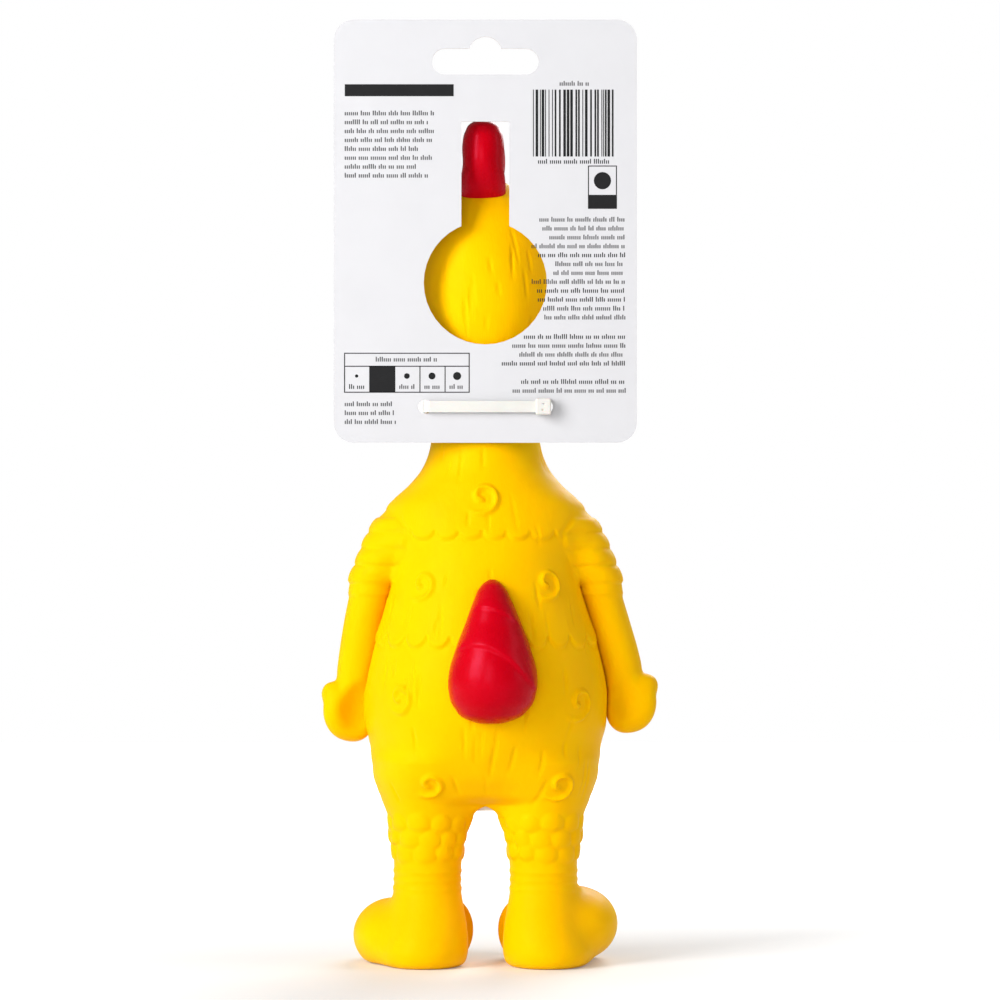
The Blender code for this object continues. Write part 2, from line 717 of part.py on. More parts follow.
def build():
    clear_scene()
    new_collection(PARTS)
    new_collection(CUTTERS)
    latex = material("yellow_latex", YELLOW, 0.42)
    latex_red = material("red_latex", RED, 0.35)
    latex_orange = material("orange_latex", ORANGE, 0.4)
    eye_white = material("white_paint", WHITE, 0.3)
    eye_black = material("black_paint", BLACK, 0.25)
    plastic = material("squeaker_plastic", PALE_PLASTIC, 0.4)
    film = material("reed_film", FILM, 0.3)
    paper = material("white_card", WHITE, 0.55)
    nylon = material("white_nylon", WHITE, 0.35)

    outside = body_cutters()
    floor_centre = (0, 0, SOLE_LIFT - FLOOR_BLOCK[2] / 2)
    floor = new_object("below_floor", box_mesh(floor_centre, FLOOR_BLOCK))
    root = empty_at("body_frame", (0, 0, 0))
    neck_joint = empty_at("neck_joint", NECK_PIVOT, root)
    reed_joint = empty_at("reed_joint", (0, SQUEAKER_Y, REED_PIVOT_Z), root)

    hollows = []
    for side in (LEFT, RIGHT):
        name = SIDE_NAMES[side]
        wing_joint = empty_at(f"{name}_wing_joint", mirrored(WING_PIVOT, side), root)
        sleeve, hollow = add_sleeve(side, latex, outside["torso"])
        hollows.append(hollow)
        hang(sleeve, root, root)
        hang(add_wing(side, latex), wing_joint, root)
        leg_joint = empty_at(f"{name}_leg_joint", mirrored(LEG_PIVOT, side), root)
        shank = add_tube(f"{name}_shank", mirrored_rows(SHANK_ROWS, side), latex, limb_mesh)
        hang(shank, root, root)
        hang(add_foot(side, latex, floor), leg_joint, root)
        hang(add_wattle(side, latex_red, outside["head"]), neck_joint, root)
        for piece in add_eye(side, eye_white, eye_black, outside["head"]):
            hang(piece, neck_joint, root)

    tail, hollow = add_tail(latex_red, outside["torso"])
    hollows.append(hollow)
    hang(tail, root, root)
    hang(add_torso(latex, hollows), root, root)
    hang(add_tube("neck", NECK_ROWS, latex), root, root)
    for piece in (add_head(latex), add_comb(latex_red, outside["head"])):
        hang(piece, neck_joint, root)
    upper, lower = add_beak(latex_orange, outside["head"])
    hang(upper, neck_joint, root)
    hang(lower, empty_at("beak_joint", BEAK_PIVOT, root), root)
    *housing, reed = add_squeaker(plastic, film)
    for piece in housing:
        piece.parent = root
    hang(reed, reed_joint, root)
    card_joint = empty_at("card_joint", (0, CARD_FRONT_Y + CARD_THICK / 2, TIE_Z), root)
    hang(add_card(paper), card_joint, root)
    for piece in add_tie(nylon):
        piece.parent = root

    for obj in bpy.data.collections[CUTTERS].objects:
        obj.parent = root
    for obj in bpy.data.collections[PARTS].objects:
        if obj.type == "MESH" and obj.name != "tie_head":
            smooth_shaded(obj)
    root.location = Vector((0, BODY_AXIS_Y, 0)) * MM


build()
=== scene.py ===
"""The looks of a hollow latex chicken toy, standing on its feet with its hang card tied to its neck.

Lengths below are in millimetres, in the chicken's own frame: it faces -Y, its left side is at +X, its
soles are at z = 0, and the axis of its neck is at x = y = 0. Meshes are made in metres, in the frame of
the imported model. A loft is a stack of level ellipses, each written as (height, centre x, centre y, half
width, half depth), from the lowest to the highest.
"""

import json
import math

import bpy
import numpy as np
import openvdb
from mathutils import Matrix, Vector


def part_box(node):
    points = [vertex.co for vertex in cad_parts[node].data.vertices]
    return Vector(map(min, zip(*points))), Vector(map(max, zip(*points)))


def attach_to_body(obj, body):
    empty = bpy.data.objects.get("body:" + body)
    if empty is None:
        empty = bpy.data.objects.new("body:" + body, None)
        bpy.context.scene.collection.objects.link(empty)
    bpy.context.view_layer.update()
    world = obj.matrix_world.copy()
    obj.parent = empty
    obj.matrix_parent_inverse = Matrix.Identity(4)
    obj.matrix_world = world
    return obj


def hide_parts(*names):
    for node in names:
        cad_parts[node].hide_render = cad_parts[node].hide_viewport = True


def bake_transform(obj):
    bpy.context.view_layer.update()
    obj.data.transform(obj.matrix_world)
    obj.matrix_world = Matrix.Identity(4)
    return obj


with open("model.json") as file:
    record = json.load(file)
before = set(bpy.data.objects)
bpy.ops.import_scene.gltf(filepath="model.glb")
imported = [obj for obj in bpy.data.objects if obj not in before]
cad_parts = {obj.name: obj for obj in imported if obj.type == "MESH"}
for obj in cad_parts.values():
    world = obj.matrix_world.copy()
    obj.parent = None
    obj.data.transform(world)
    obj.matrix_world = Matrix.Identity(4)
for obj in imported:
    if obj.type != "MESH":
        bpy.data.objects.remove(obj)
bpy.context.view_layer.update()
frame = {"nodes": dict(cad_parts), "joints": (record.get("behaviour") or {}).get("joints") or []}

MM = 0.001
JOINTS = {joint["name"]: joint for joint in frame["joints"]}
AXIS_Y = JOINTS["neck_nod"]["pos_m"][1] / MM  # the neck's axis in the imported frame
LEFT, RIGHT = 1, -1
SIDE_NAMES = {LEFT: "left", RIGHT: "right"}

# How finely the skin is meshed.
VOXEL = 0.6
COARSE_STEPS = 4
BAND = 3.0  # voxels kept on either side of the surface
FAR = 8.0  # beyond this a form doesn't count
CHUNK = 300000
STEP = 0.05  # over which a field's slope is taken
NEAR_CELLS = 1.2  # coarse cells this near the surface are taken finely
SETTLE_ROUNDS = 2
SETTLE_LIMIT = 1.0  # the furthest that a point moves in one round
LEAST_SLOPE = 0.2

# Forms of the yellow skin.
BODY_ROWS = (
    (49.2, 0, -0.5, 12.0, 8.0),
    (51.0, 0, -0.6, 22.0, 13.0),
    (55.0, 0, -1.0, 28.6, 18.5),
    (62.0, 0, -1.6, 32.6, 24.0),
    (72.0, 0, -2.2, 36.5, 29.2),
    (82.0, 0, -2.2, 37.2, 31.5),
    (95.0, 0, -1.8, 35.0, 30.5),
    (110.0, 0, -1.0, 30.8, 27.5),
    (124.0, 0, -0.5, 28.2, 24.0),
    (133.0, 0, -0.2, 30.0, 22.3),
    (140.0, 0, 0, 29.2, 20.5),
    (146.0, 0, 0, 23.1, 18.8),
    (150.0, 0, 0, 19.8, 17.2),
    (154.0, 0, 0, 17.8, 16.3),
    (158.0, 0, 0, 16.7, 16.0),
    (170.0, 0, -0.3, 16.8, 16.1),
    (182.0, 0, -1.2, 18.2, 17.2),
    (190.0, 0, -2.2, 19.3, 18.3),
    (198.0, 0, -3.0, 20.0, 18.9),
    (206.0, 0, -3.4, 19.4, 18.2),
    (214.0, 0, -3.4, 17.0, 15.8),
)
HEAD_CENTRE = (0, -3.4, 207.0)
HEAD_RADII = (21.0, 19.8, 32.5)
LEG_ROWS = (
    (-1.0, 18.6, 2.4, 10.6, 12.6),
    (1.5, 18.8, 2.6, 12.8, 14.6),
    (4.0, 18.8, 2.6, 13.6, 15.4),
    (8.0, 18.2, 2.2, 13.2, 15.4),
    (13.0, 17.6, 1.6, 12.2, 14.0),
    (18.0, 17.5, 1.0, 11.2, 12.2),
    (24.0, 17.6, 0.6, 10.3, 10.8),
    (29.7, 17.5, 0.6, 10.3, 10.9),
    (34.5, 17.3, 0.6, 10.9, 11.3),
    (39.0, 17.1, 0.6, 11.7, 12.0),
    (45.6, 16.9, 0.5, 12.9, 13.4),
    (51.0, 17.9, 0.1, 13.9, 15.4),
    (56.0, 18.6, -0.4, 14.2, 17.6),
    (62.0, 18.6, -1.0, 13.6, 20.0),
)
FOREFOOT = ((27.2, -9.0, 12.6), (12.4, 17.0, 11.2))  # centre, then radii
INNER_FOOT = ((12.6, -7.5, 9.8), (9.0, 13.0, 10.6))
LEG_TOP_Z = 70.0  # a leg's form doesn't count above this, or further past the middle than the next
LEG_PAST_MIDDLE = 14.0
TOES = (
    ((31.4, -19.0, 8.6), (7.4, 9.5, 8.4)),
    ((21.8, -22.6, 8.2), (6.8, 9.0, 8.0)),
    ((12.2, -18.6, 8.0), (6.8, 9.0, 7.8)),
)
FOREFOOT_SHIFT = {LEFT: (0.9, 0.0, -4.2), RIGHT: (0.8, 0.0, -0.8)}
SLEEVE_ROWS = (
    (113.0, 35.0, -1.2, 6.6, 7.6),
    (116.0, 34.4, -1.2, 6.9, 7.8),
    (118.6, 33.4, -1.1, 7.2, 8.2),
    (123.0, 30.7, -0.9, 8.3, 9.0),
    (128.0, 27.6, -0.8, 9.3, 9.5),
    (133.0, 25.2, -0.6, 9.2, 9.2),
    (136.0, 24.0, -0.5, 8.2, 8.2),
    (138.3, 23.2, -0.5, 5.2, 5.6),
)
FOREARM_ROWS = (
    (80.0, 41.6, -2.8, 5.6, 5.8),
    (86.0, 40.6, -2.8, 5.8, 6.3),
    (90.0, 40.1, -2.8, 6.2, 6.8),
    (94.5, 39.2, -2.5, 6.4, 7.1),
    (99.0, 38.3, -2.2, 6.4, 7.3),
    (106.5, 36.6, -1.7, 6.4, 7.4),
    (111.0, 35.5, -1.4, 6.4, 7.5),
    (116.5, 34.2, -1.2, 6.4, 7.6),
)
HAND_TURN = 32.0  # degrees that the hand's outer rim is turned back
HAND = ((43.2, -2.5, 78.6), (8.0, 5.2, 9.2))
HAND_HEEL = ((40.4, -2.5, 75.6), (5.2, 4.8, 6.3))
THUMB = ((47.9, -1.4, 83.4), (2.9, 3.8, 3.7))
PALM = ((39.2, 4.4, 78.6), (6.6, 5.0, 8.2))
PALM_SHIFT = {LEFT: (0.0, 0.0, 0.0), RIGHT: (0.0, 2.0, 0.0)}  # the right palm is shallower
ARM_TWIST = {LEFT: (-1.1, -1.2), RIGHT: (1.5, 1.4)}  # spread and rise of each hand
ARM_TWIST_TOP_Z = 116.0
ARM_TWIST_LENGTH = 34.0
ARM_INNER_X = 10.0  # an arm's form doesn't count nearer the middle than this, or outside these heights
ARM_SPAN_Z = (60.0, 148.0)

BODY_BLEND = 4.0
LEG_BLEND = 9.0
LEG_BLEND_Z = 36.0  # the legs blend into the body from here up, fully so this much higher
LEG_BLEND_RISE = 8.0
FOOT_BLEND = 4.5
TOE_BLEND = 1.6
INNER_BLEND = 3.0
ARM_BLEND = 4.0
FOREARM_BLEND = 1.5
HAND_BLEND = 2.4
THUMB_BLEND = 1.4
PALM_BLEND = 2.5
SOLE_BLEND = 1.6
ARM_GAP = 0.4  # between the body and the free part of an arm
CARVE_BLEND = 1.2
ARMPIT_Z = (115.0, 119.0)  # the arm is free below the first and fully joined above the second
ARMPIT_CUT_Z = 115.0  # below this the body and the arms are separate surfaces
ARMPIT_RIM = 4.0  # how far the arm's open end reaches into the body, which keeps the armpit closed
WELL_RADIUS = 8.3  # the round hole in the underside that holds the squeaker
WELL_Y = -2.0
WELL_TOP_Z = 62.0
WELL_EDGE = 0.8

SKIN_LOW = (-58.0, -40.0, -1.5)
SKIN_HIGH = (58.0, 36.0, 242.0)
ARMS_LOW = (-58.0, -18.0, 64.0)
ARMS_HIGH = (58.0, 18.0, 146.0)

# Where the skin is divided, at the places where the toy bends.
HIP_Z = 46.0
HIP_BEND_DROP = 0.4  # the leg starts to bend this far below its upper edge
ANKLE_Z = 24.0
NECK_BEND_Z = (146.0, 158.0)
HEAD_PART_Z = 162.0
ARMPIT = (30.5, 118.0)  # x and z where an arm starts to bend
ARM_BEND = (10.6, -9.1)  # from there to where it is fully bent


def smooth_step(t):
    t = np.clip(t, 0.0, 1.0)
    return t * t * (3 - 2 * t)


def smooth_min(a, b, blend):
    """The lesser of a and b, rounded where they meet over this width."""
    blend = np.maximum(blend, 1e-6)
    near = np.maximum(blend - np.abs(a - b), 0.0) / blend
    return np.minimum(a, b) - near * near * blend / 4


def smooth_max(a, b, blend):
    return -smooth_min(-a, -b, blend)


def hermite(at, z, value):
    """Values at the given heights, on a smooth curve through (z, value)."""
    slope = np.gradient(value, z)
    below = np.clip(np.searchsorted(z, at) - 1, 0, len(z) - 2)
    span = z[below + 1] - z[below]
    t = (at - z[below]) / span
    start = (1 + 2 * t) * (1 - t) ** 2 * value[below] + t * (1 - t) ** 2 * span * slope[below]
    end = t * t * (3 - 2 * t) * value[below + 1] + t * t * (t - 1) * span * slope[below + 1]
    return start + end


class Loft:
    """A stack of level ellipses with flat ends, as a distance field."""

    def __init__(self, rows, blend=0.0):
        table = np.array(rows, float)
        self.z = table[:, 0]
        self.columns = [table[:, i] for i in range(1, 5)]
        x, y, half_width, half_depth = self.columns
        self.low = np.array([(x - half_width).min(), (y - half_depth).min(), self.z[0]])
        self.high = np.array([(x + half_width).max(), (y + half_depth).max(), self.z[-1]])
        self.blend = blend

    def distance(self, p):
        at = np.clip(p[:, 2], self.z[0], self.z[-1])
        x, y, half_width, half_depth = (hermite(at, self.z, column) for column in self.columns)
        dx = p[:, 0] - x
        dy = p[:, 1] - y
        ring = np.hypot(dx / half_width, dy / half_depth)
        scale = np.hypot(dx / half_width**2, dy / half_depth**2)
        side = ring * (ring - 1) / np.maximum(scale, 1e-6)
        beyond = np.maximum(self.z[0] - p[:, 2], p[:, 2] - self.z[-1])
        outside = np.hypot(np.maximum(side, 0), np.maximum(beyond, 0))
        return np.minimum(np.maximum(side, beyond), 0) + outside


class Ellipsoid:
    """An ellipsoid turned about the vertical, as a distance field."""

    def __init__(self, centre, radii, blend=0.0, turn=0.0):
        self.centre = np.array(centre, float)
        self.radii = np.array(radii, float)
        angle = math.radians(turn)
        cos, sin = math.cos(angle), math.sin(angle)
        self.axes = np.array([[cos, -sin, 0], [sin, cos, 0], [0, 0, 1]])
        self.low = self.centre - self.radii.max()
        self.high = self.centre + self.radii.max()
        self.blend = blend

    def distance(self, p):
        q = (p - self.centre) @ self.axes
        ring = np.linalg.norm(q / self.radii, axis=1)
        scale = np.linalg.norm(q / self.radii**2, axis=1)
        return ring * (ring - 1) / np.maximum(scale, 1e-6)


def union(forms, p):
    """The forms joined, each with its own blend, counting only the points near it."""
    total = np.full(len(p), FAR)
    for form in forms:
        near = ((p > form.low - FAR) & (p < form.high + FAR)).all(axis=1)
        total[near] = smooth_min(total[near], form.distance(p[near]), form.blend)
    return total


BODY = (Loft(BODY_ROWS), Ellipsoid(HEAD_CENTRE, HEAD_RADII, BODY_BLEND))
LEG = Loft(LEG_ROWS)
TOE_FORMS = [Ellipsoid(centre, radii, TOE_BLEND) for centre, radii in TOES]
ARM = (
    Loft(SLEEVE_ROWS),
    Loft(FOREARM_ROWS, FOREARM_BLEND),
    Ellipsoid(*HAND, HAND_BLEND, HAND_TURN),
    Ellipsoid(*HAND_HEEL, HAND_BLEND, HAND_TURN),
    Ellipsoid(*THUMB, THUMB_BLEND, HAND_TURN),
)


def mirrored(p, side):
    return p * np.array([side, 1.0, 1.0])


def leg_field(p, side):
    """Distance to one leg, whose forefoot sits a little higher or lower than the other's."""
    total = np.full(len(p), FAR)
    near = np.flatnonzero((p[:, 2] < LEG_TOP_Z) & (p[:, 0] * side > -LEG_PAST_MIDDLE))
    q = mirrored(p[near], side)
    foot = Ellipsoid(np.add(FOREFOOT[0], FOREFOOT_SHIFT[side]), FOREFOOT[1])
    inner = Ellipsoid(INNER_FOOT[0], INNER_FOOT[1])
    leg = smooth_min(LEG.distance(q), foot.distance(q), FOOT_BLEND)
    leg = smooth_min(leg, inner.distance(q), INNER_BLEND)
    for toe in TOE_FORMS:
        leg = smooth_min(leg, toe.distance(q), toe.blend)
    total[near] = leg
    return total


def arm_field(p):
    """Distance to either arm."""
    total = np.full(len(p), FAR)
    for side, (spread, rise) in ARM_TWIST.items():
        q = mirrored(p, side)
        near = (q[:, 0] > ARM_INNER_X) & (q[:, 2] > ARM_SPAN_Z[0]) & (q[:, 2] < ARM_SPAN_Z[1])
        q = q[near]
        share = smooth_step((ARM_TWIST_TOP_Z - q[:, 2]) / ARM_TWIST_LENGTH)
        q = q - share[:, None] * np.array([spread, 0.0, rise])
        arm = union(ARM, q)
        palm = Ellipsoid(np.add(PALM[0], PALM_SHIFT[side]), PALM[1], 0.0, HAND_TURN)
        arm = smooth_max(arm, -palm.distance(q), PALM_BLEND)
        total[near] = np.minimum(total[near], arm)
    return total


def body_field(p):
    """Distance to the torso, head and legs, with the squeaker's hole and flat soles."""
    body = union(BODY, p)
    legs = np.minimum(leg_field(p, LEFT), leg_field(p, RIGHT))
    body = smooth_min(body, legs, LEG_BLEND * smooth_step((p[:, 2] - LEG_BLEND_Z) / LEG_BLEND_RISE))
    well = np.maximum(np.hypot(p[:, 0], p[:, 1] - WELL_Y) - WELL_RADIUS, p[:, 2] - WELL_TOP_Z)
    body = smooth_max(body, -well, WELL_EDGE)
    return smooth_max(body, -p[:, 2], SOLE_BLEND)


def shoulder_field(p):
    """Distance to the body and the arms joined to it, which they are above the armpits."""
    joined = smooth_step((p[:, 2] - ARMPIT_Z[0]) / (ARMPIT_Z[1] - ARMPIT_Z[0]))
    return smooth_min(body_beside_arms(p, joined), arm_field(p), ARM_BLEND * joined)


def body_beside_arms(p, joined=0.0):
    """Distance to the body, pared back from the free part of each arm."""
    return smooth_max(body_field(p), ARM_GAP - arm_field(p) - FAR * joined, CARVE_BLEND * (1 - joined))


def parted(p, lower_field):
    """The shoulder above the armpits, and this field below them."""
    above = p[:, 2] > ARMPIT_CUT_Z
    total = np.empty(len(p))
    total[above] = shoulder_field(p[above])
    total[~above] = lower_field(p[~above])
    return total


def torso_side_field(p):
    return parted(p, body_beside_arms)


def arm_side_field(p):
    return parted(p, arm_field)


def on_arm(p):
    """Past the plane that parts the arm from the shoulder, and outside the crease beside it."""
    past = (np.abs(p[:, 0]) - ARMPIT[0]) * ARM_BEND[0] + (p[:, 2] - ARMPIT[1]) * ARM_BEND[1]
    found = past > 0
    found[found] = arm_field(p[found]) < body_field(p[found])
    return found


def in_chunks(field, p):
    return np.concatenate([field(p[i : i + CHUNK]) for i in range(0, len(p), CHUNK)])


def surface(field, low, high, voxel=VOXEL):
    """(points, faces) where the field is 0, with the faces pointing out. The field is taken on a coarse
    grid first, and then finely near the surface only."""
    wide = voxel * COARSE_STEPS
    low = np.floor(np.array(low) / wide) * wide
    counts = np.ceil((np.array(high) - low) / wide).astype(int)
    nodes = np.indices(counts + 1).reshape(3, -1).T
    rough = in_chunks(field, low + nodes * wide).reshape(counts + 1)
    near = np.zeros(counts, bool)
    inside = np.zeros(counts, int)
    for corner in np.ndindex(2, 2, 2):
        part = rough[tuple(slice(c, c + n) for c, n in zip(corner, counts))]
        near |= np.abs(part) < NEAR_CELLS * wide
        inside += part < 0
    near |= (inside > 0) & (inside < 8)
    values = np.where(rough[:-1, :-1, :-1] < 0, -BAND, BAND) * voxel
    for axis in range(3):
        values = np.repeat(values, COARSE_STEPS, axis=axis)
    offsets = np.indices((COARSE_STEPS,) * 3).reshape(3, -1).T
    fine = (np.argwhere(near)[:, None, :] * COARSE_STEPS + offsets[None]).reshape(-1, 3)
    found = in_chunks(field, low + fine * voxel)
    values[tuple(fine.T)] = np.clip(found, -BAND * voxel, BAND * voxel)
    grid = openvdb.FloatGrid(BAND * voxel)
    grid.copyFromArray(values.astype(np.float32), ijk=(0, 0, 0), tolerance=0)
    grid.transform = openvdb.createLinearTransform(voxelSize=voxel)
    points, faces = grid.convertToQuads(isovalue=0)
    return np.asarray(points, float) + low, np.asarray(faces, int)


def slope(field, p):
    """The field's gradient."""
    found = np.empty_like(p)
    for axis in range(3):
        step = np.zeros(3)
        step[axis] = STEP
        found[:, axis] = (in_chunks(field, p + step) - in_chunks(field, p - step)) / (2 * STEP)
    return found


def settled(field, p):
    """The points moved onto the surface, and its outward normals there."""
    for _ in range(SETTLE_ROUNDS):
        gradient = slope(field, p)
        share = in_chunks(field, p) / np.maximum((gradient**2).sum(axis=1), LEAST_SLOPE)
        p = p - np.clip(share, -SETTLE_LIMIT, SETTLE_LIMIT)[:, None] * gradient
    gradient = slope(field, p)
    return p, gradient / np.maximum(np.linalg.norm(gradient, axis=1), 1e-9)[:, None]


def vertex_normals(points, faces):
    """Area-weighted normals of the whole surface, so that pieces cut from it still shade as one."""
    a, b, c, d = (points[faces[:, i]] for i in range(4))
    across = np.cross(c - a, d - b)
    normals = np.zeros_like(points)
    for i in range(4):
        for axis in range(3):
            normals[:, axis] += np.bincount(faces[:, i], across[:, axis], len(points))
    return normals / np.maximum(np.linalg.norm(normals, axis=1), 1e-12)[:, None]


def to_frame(p):
    """Millimetres in the chicken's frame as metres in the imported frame."""
    return (np.asarray(p, float) + np.array([0.0, AXIS_Y, 0.0])) * MM


def link(name, data, finish=None):
    obj = bpy.data.objects.new(name, data)
    bpy.context.scene.collection.objects.link(obj)
    if finish:
        data.materials.append(finish)
    return obj


def mesh_piece(name, points, faces, finish, normals=None):
    """A smooth-shaded piece of these points, which are in millimetres, and faces."""
    used, index = np.unique(faces, return_inverse=True)
    mesh = bpy.data.meshes.new(name)
    mesh.from_pydata(to_frame(points[used]).tolist(), [], index.reshape(faces.shape).tolist())
    mesh.shade_smooth()
    if normals is not None:
        mesh.normals_split_custom_set_from_vertices(normals[used].tolist())
    return link(name, mesh, finish)


# ---------------------------------------------------------------- relief of the skin

SPIRALS = (  # x and z of its middle, radius of its outer turn, height; on the back
    (0.75, 142.4, 5.2, 1.2),
    (18.8, 116.2, 4.7, 0.85),
    (-18.5, 116.6, 4.9, 1.2),
    (-28.1, 80.8, 5.2, 1.2),
    (25.7, 82.3, 4.6, 0.8),
    (16.7, 56.2, 4.2, 1.0),
    (-22.4, 55.9, 4.8, 1.2),
)
FRONT_SPIRALS = (
    (-9.0, 140.0, 4.8, 1.1),
    (14.0, 121.0, 4.8, 1.1),
    (-16.0, 109.0, 5.0, 1.1),
    (5.0, 92.0, 5.2, 1.1),
    (26.0, 84.0, 4.8, 1.1),
    (-25.0, 72.0, 5.0, 1.1),
    (9.0, 61.0, 4.6, 1.1),
)
SPIRAL_START = -150.0  # degrees, at its tail
SPIRAL_SWEEP = 440.0
SPIRAL_WIDTH = 0.8
SPIRAL_TURN = (1.22, -0.22, 0.4, -0.88)  # its radius along its length, as factors and a power
SPIRAL_ENDS = (0.16, 0.05)  # shares of its length over which it rises and falls
SPIRAL_MOAT_WIDTH = 2.2  # the dip beside the ridge, as shares of the ridge
SPIRAL_MOAT_DEPTH = 0.28
SPIRAL_RIM = (1.2, 0.3)  # where the relief starts to fade, and over how far, in radii
SPIRAL_REACH = 1.6
DEEPEST = 40.0  # further out than any skin
DEPTH_STEPS = 401
SCALLOP_ROWS = (  # height of the cusps, how far the lobes hang below them, lobes all round, and turn
    (132.2, 2.9, 20, 0.12),
    (101.5, 4.6, 24, 0.40),
)
SCALLOP_PUFF = (0.6, 0.4)  # height at a lobe's sides, and how much more its middle has
SCALLOP_EDGE = 0.4  # how sharply the lobe starts above its edge
SCALLOP_FADE = 5.0
SCALLOP_GROOVE = (0.25, 0.6)  # depth and width of the groove under the edge
RING_EDGES = (116.2, 121.6, 126.7, 131.5, 136.0)
RING_INNER_X = (27.1, 25.3, 23.4, 22.8, 26.0)
RING_HEIGHT = 1.05
RING_FADE = 1.4
RING_ROUNDNESS = 0.45
RING_TAPER = (1.1, 0.35)  # fullness at its lower edge, and how much less at its upper one
RING_LOBES = (0.72, 0.28)  # height between them, and what they add
RING_LOBE_TURN = (1.6, 1.3)  # how often they come, and each ring's turn
SLEEVE_MIDDLE_X = 30.0
CLEAR_FROM_Z = 112.0
SHOULDER_FROM_Z = 114.0
SHOULDER_TO_Z = 142.0
SHOULDER_FROM_X = 18.0
SCALE_ROWS_Z = (34.0, 38.4, 42.9)
SCALE_COUNT = 12
SCALE_SHIFT = (0.12, 17.0)  # along their row: how far, and how often
SCALE_WAVE = (0.5, 5.0, 2.0)  # up and down: how far, and the change by scale and by row
SCALE_REACH = (3.6, 1.9)  # above and below the middle
SCALE_ROUNDNESS = 0.55
SCALE_HEIGHT = (0.75, 0.3)  # usual height, and how much of the wave is added
SHANK_MIDDLE = (17.2, 0.6)
SHANK_RINGS = (23.6, 26.2, 28.8)
SHANK_RING = (0.32, 0.75)  # height and width
LEG_RELIEF_Z = (20.0, 3.0)  # where it begins, and over how far it comes in
LEG_RELIEF_TOP_Z = 48.0
GROOVES = 260
GROOVE_SEED = 7
GROOVE_Z = (52.0, 228.0)
GROOVE_HALF_LENGTH = (2.2, 6.5)
GROOVE_DEPTH = (0.2, 0.5)
GROOVE_LEAN = 0.12
GROOVE_SPREAD = 0.3  # radians on either side that a groove may reach
GROOVE_WIDTH = 0.45
SLEEVE_CLEARANCE = (1.5, 2.0)  # the body's relief ends this far inside the rings, over this width


def spiral(p, centre, normal, radius, height):
    """A curled ridge on the tangent plane at the centre, seen from outside with up at the top."""
    right = np.cross((0.0, 0.0, 1.0), normal)
    right /= np.linalg.norm(right)
    up = np.cross(normal, right)
    u = (p - centre) @ right
    v = (p - centre) @ up
    r = np.hypot(u, v)
    angle = np.degrees(np.arctan2(v, u))
    start, fall, power, steep = SPIRAL_TURN
    best = np.full(len(p), -SPIRAL_MOAT_DEPTH)
    for turn in (0, 1):
        along = (angle - SPIRAL_START) % 360.0 + 360.0 * turn
        share = along / SPIRAL_SWEEP
        path = radius * (start + fall * share**power + steep * share)
        offset = ((r - path) / SPIRAL_WIDTH) ** 2
        crest = (1 + SPIRAL_MOAT_DEPTH) * np.exp(-offset)
        ridge = crest - SPIRAL_MOAT_DEPTH * np.exp(-offset / SPIRAL_MOAT_WIDTH**2)
        ends = smooth_step(share / SPIRAL_ENDS[0]) * smooth_step((1.0 - share) / SPIRAL_ENDS[1])
        best = np.maximum(best, ridge * np.where(share < 1.0, ends, 0.0))
    return height * best * (1 - smooth_step((r / radius - SPIRAL_RIM[0]) / SPIRAL_RIM[1]))


def add_spirals(p, relief):
    """Adds the curls to the relief, on the back and on the front."""
    for facing, rows in ((1.0, SPIRALS), (-1.0, FRONT_SPIRALS)):
        for x, z, radius, height in rows:
            reach = np.linspace(0.0, DEEPEST, DEPTH_STEPS)
            line = np.stack([np.full(DEPTH_STEPS, x), facing * reach, np.full(DEPTH_STEPS, z)], axis=1)
            inside = body_field(line) < 0
            y = facing * reach[np.flatnonzero(inside).max()]
            centre = np.array([[x, y, z]])
            (centre,), (normal,) = settled(body_field, centre)
            near = np.linalg.norm(p - centre, axis=1) < SPIRAL_REACH * radius
            relief[near] += spiral(p[near], centre, normal, radius, height)


def scallops(p, cusp_z, depth, count, turn):
    """A row of round lobes that hang over the skin below them."""
    u = np.mod(np.arctan2(p[:, 1], p[:, 0]) / (2 * math.pi) * count + turn, 1.0)
    edge = cusp_z - depth * np.sqrt(np.clip(1 - (2 * u - 1) ** 2, 0, 1))
    over = np.maximum(p[:, 2] - edge, 0.0)
    puff = SCALLOP_PUFF[0] + SCALLOP_PUFF[1] * np.sin(math.pi * u)
    under = np.exp(-(((p[:, 2] - edge) / SCALLOP_GROOVE[1]) ** 2))
    lobe = puff * (1 - np.exp(-over / SCALLOP_EDGE)) * np.exp(-over / SCALLOP_FADE)
    return lobe - SCALLOP_GROOVE[0] * under


def rings(p):
    """The puffed rings of the sleeve, each parted into a few lobes."""
    z = p[:, 2]
    inner = np.interp(z, RING_EDGES, RING_INNER_X)
    mask = smooth_step((np.abs(p[:, 0]) - inner) / RING_FADE)
    relief = np.zeros(len(p))
    for number, (low, high) in enumerate(zip(RING_EDGES, RING_EDGES[1:])):
        share = np.clip((z - low) / (high - low), 0.0, 1.0)
        profile = np.clip(4 * share * (1 - share), 0, 1) ** RING_ROUNDNESS
        profile = profile * (RING_TAPER[0] - RING_TAPER[1] * share)
        angle = np.arctan2(p[:, 1], np.abs(p[:, 0]) - SLEEVE_MIDDLE_X)
        turned = RING_LOBE_TURN[0] * angle + RING_LOBE_TURN[1] * number
        lobes = RING_LOBES[0] + RING_LOBES[1] * np.abs(np.cos(turned))
        relief += RING_HEIGHT * profile * lobes
    return relief * mask


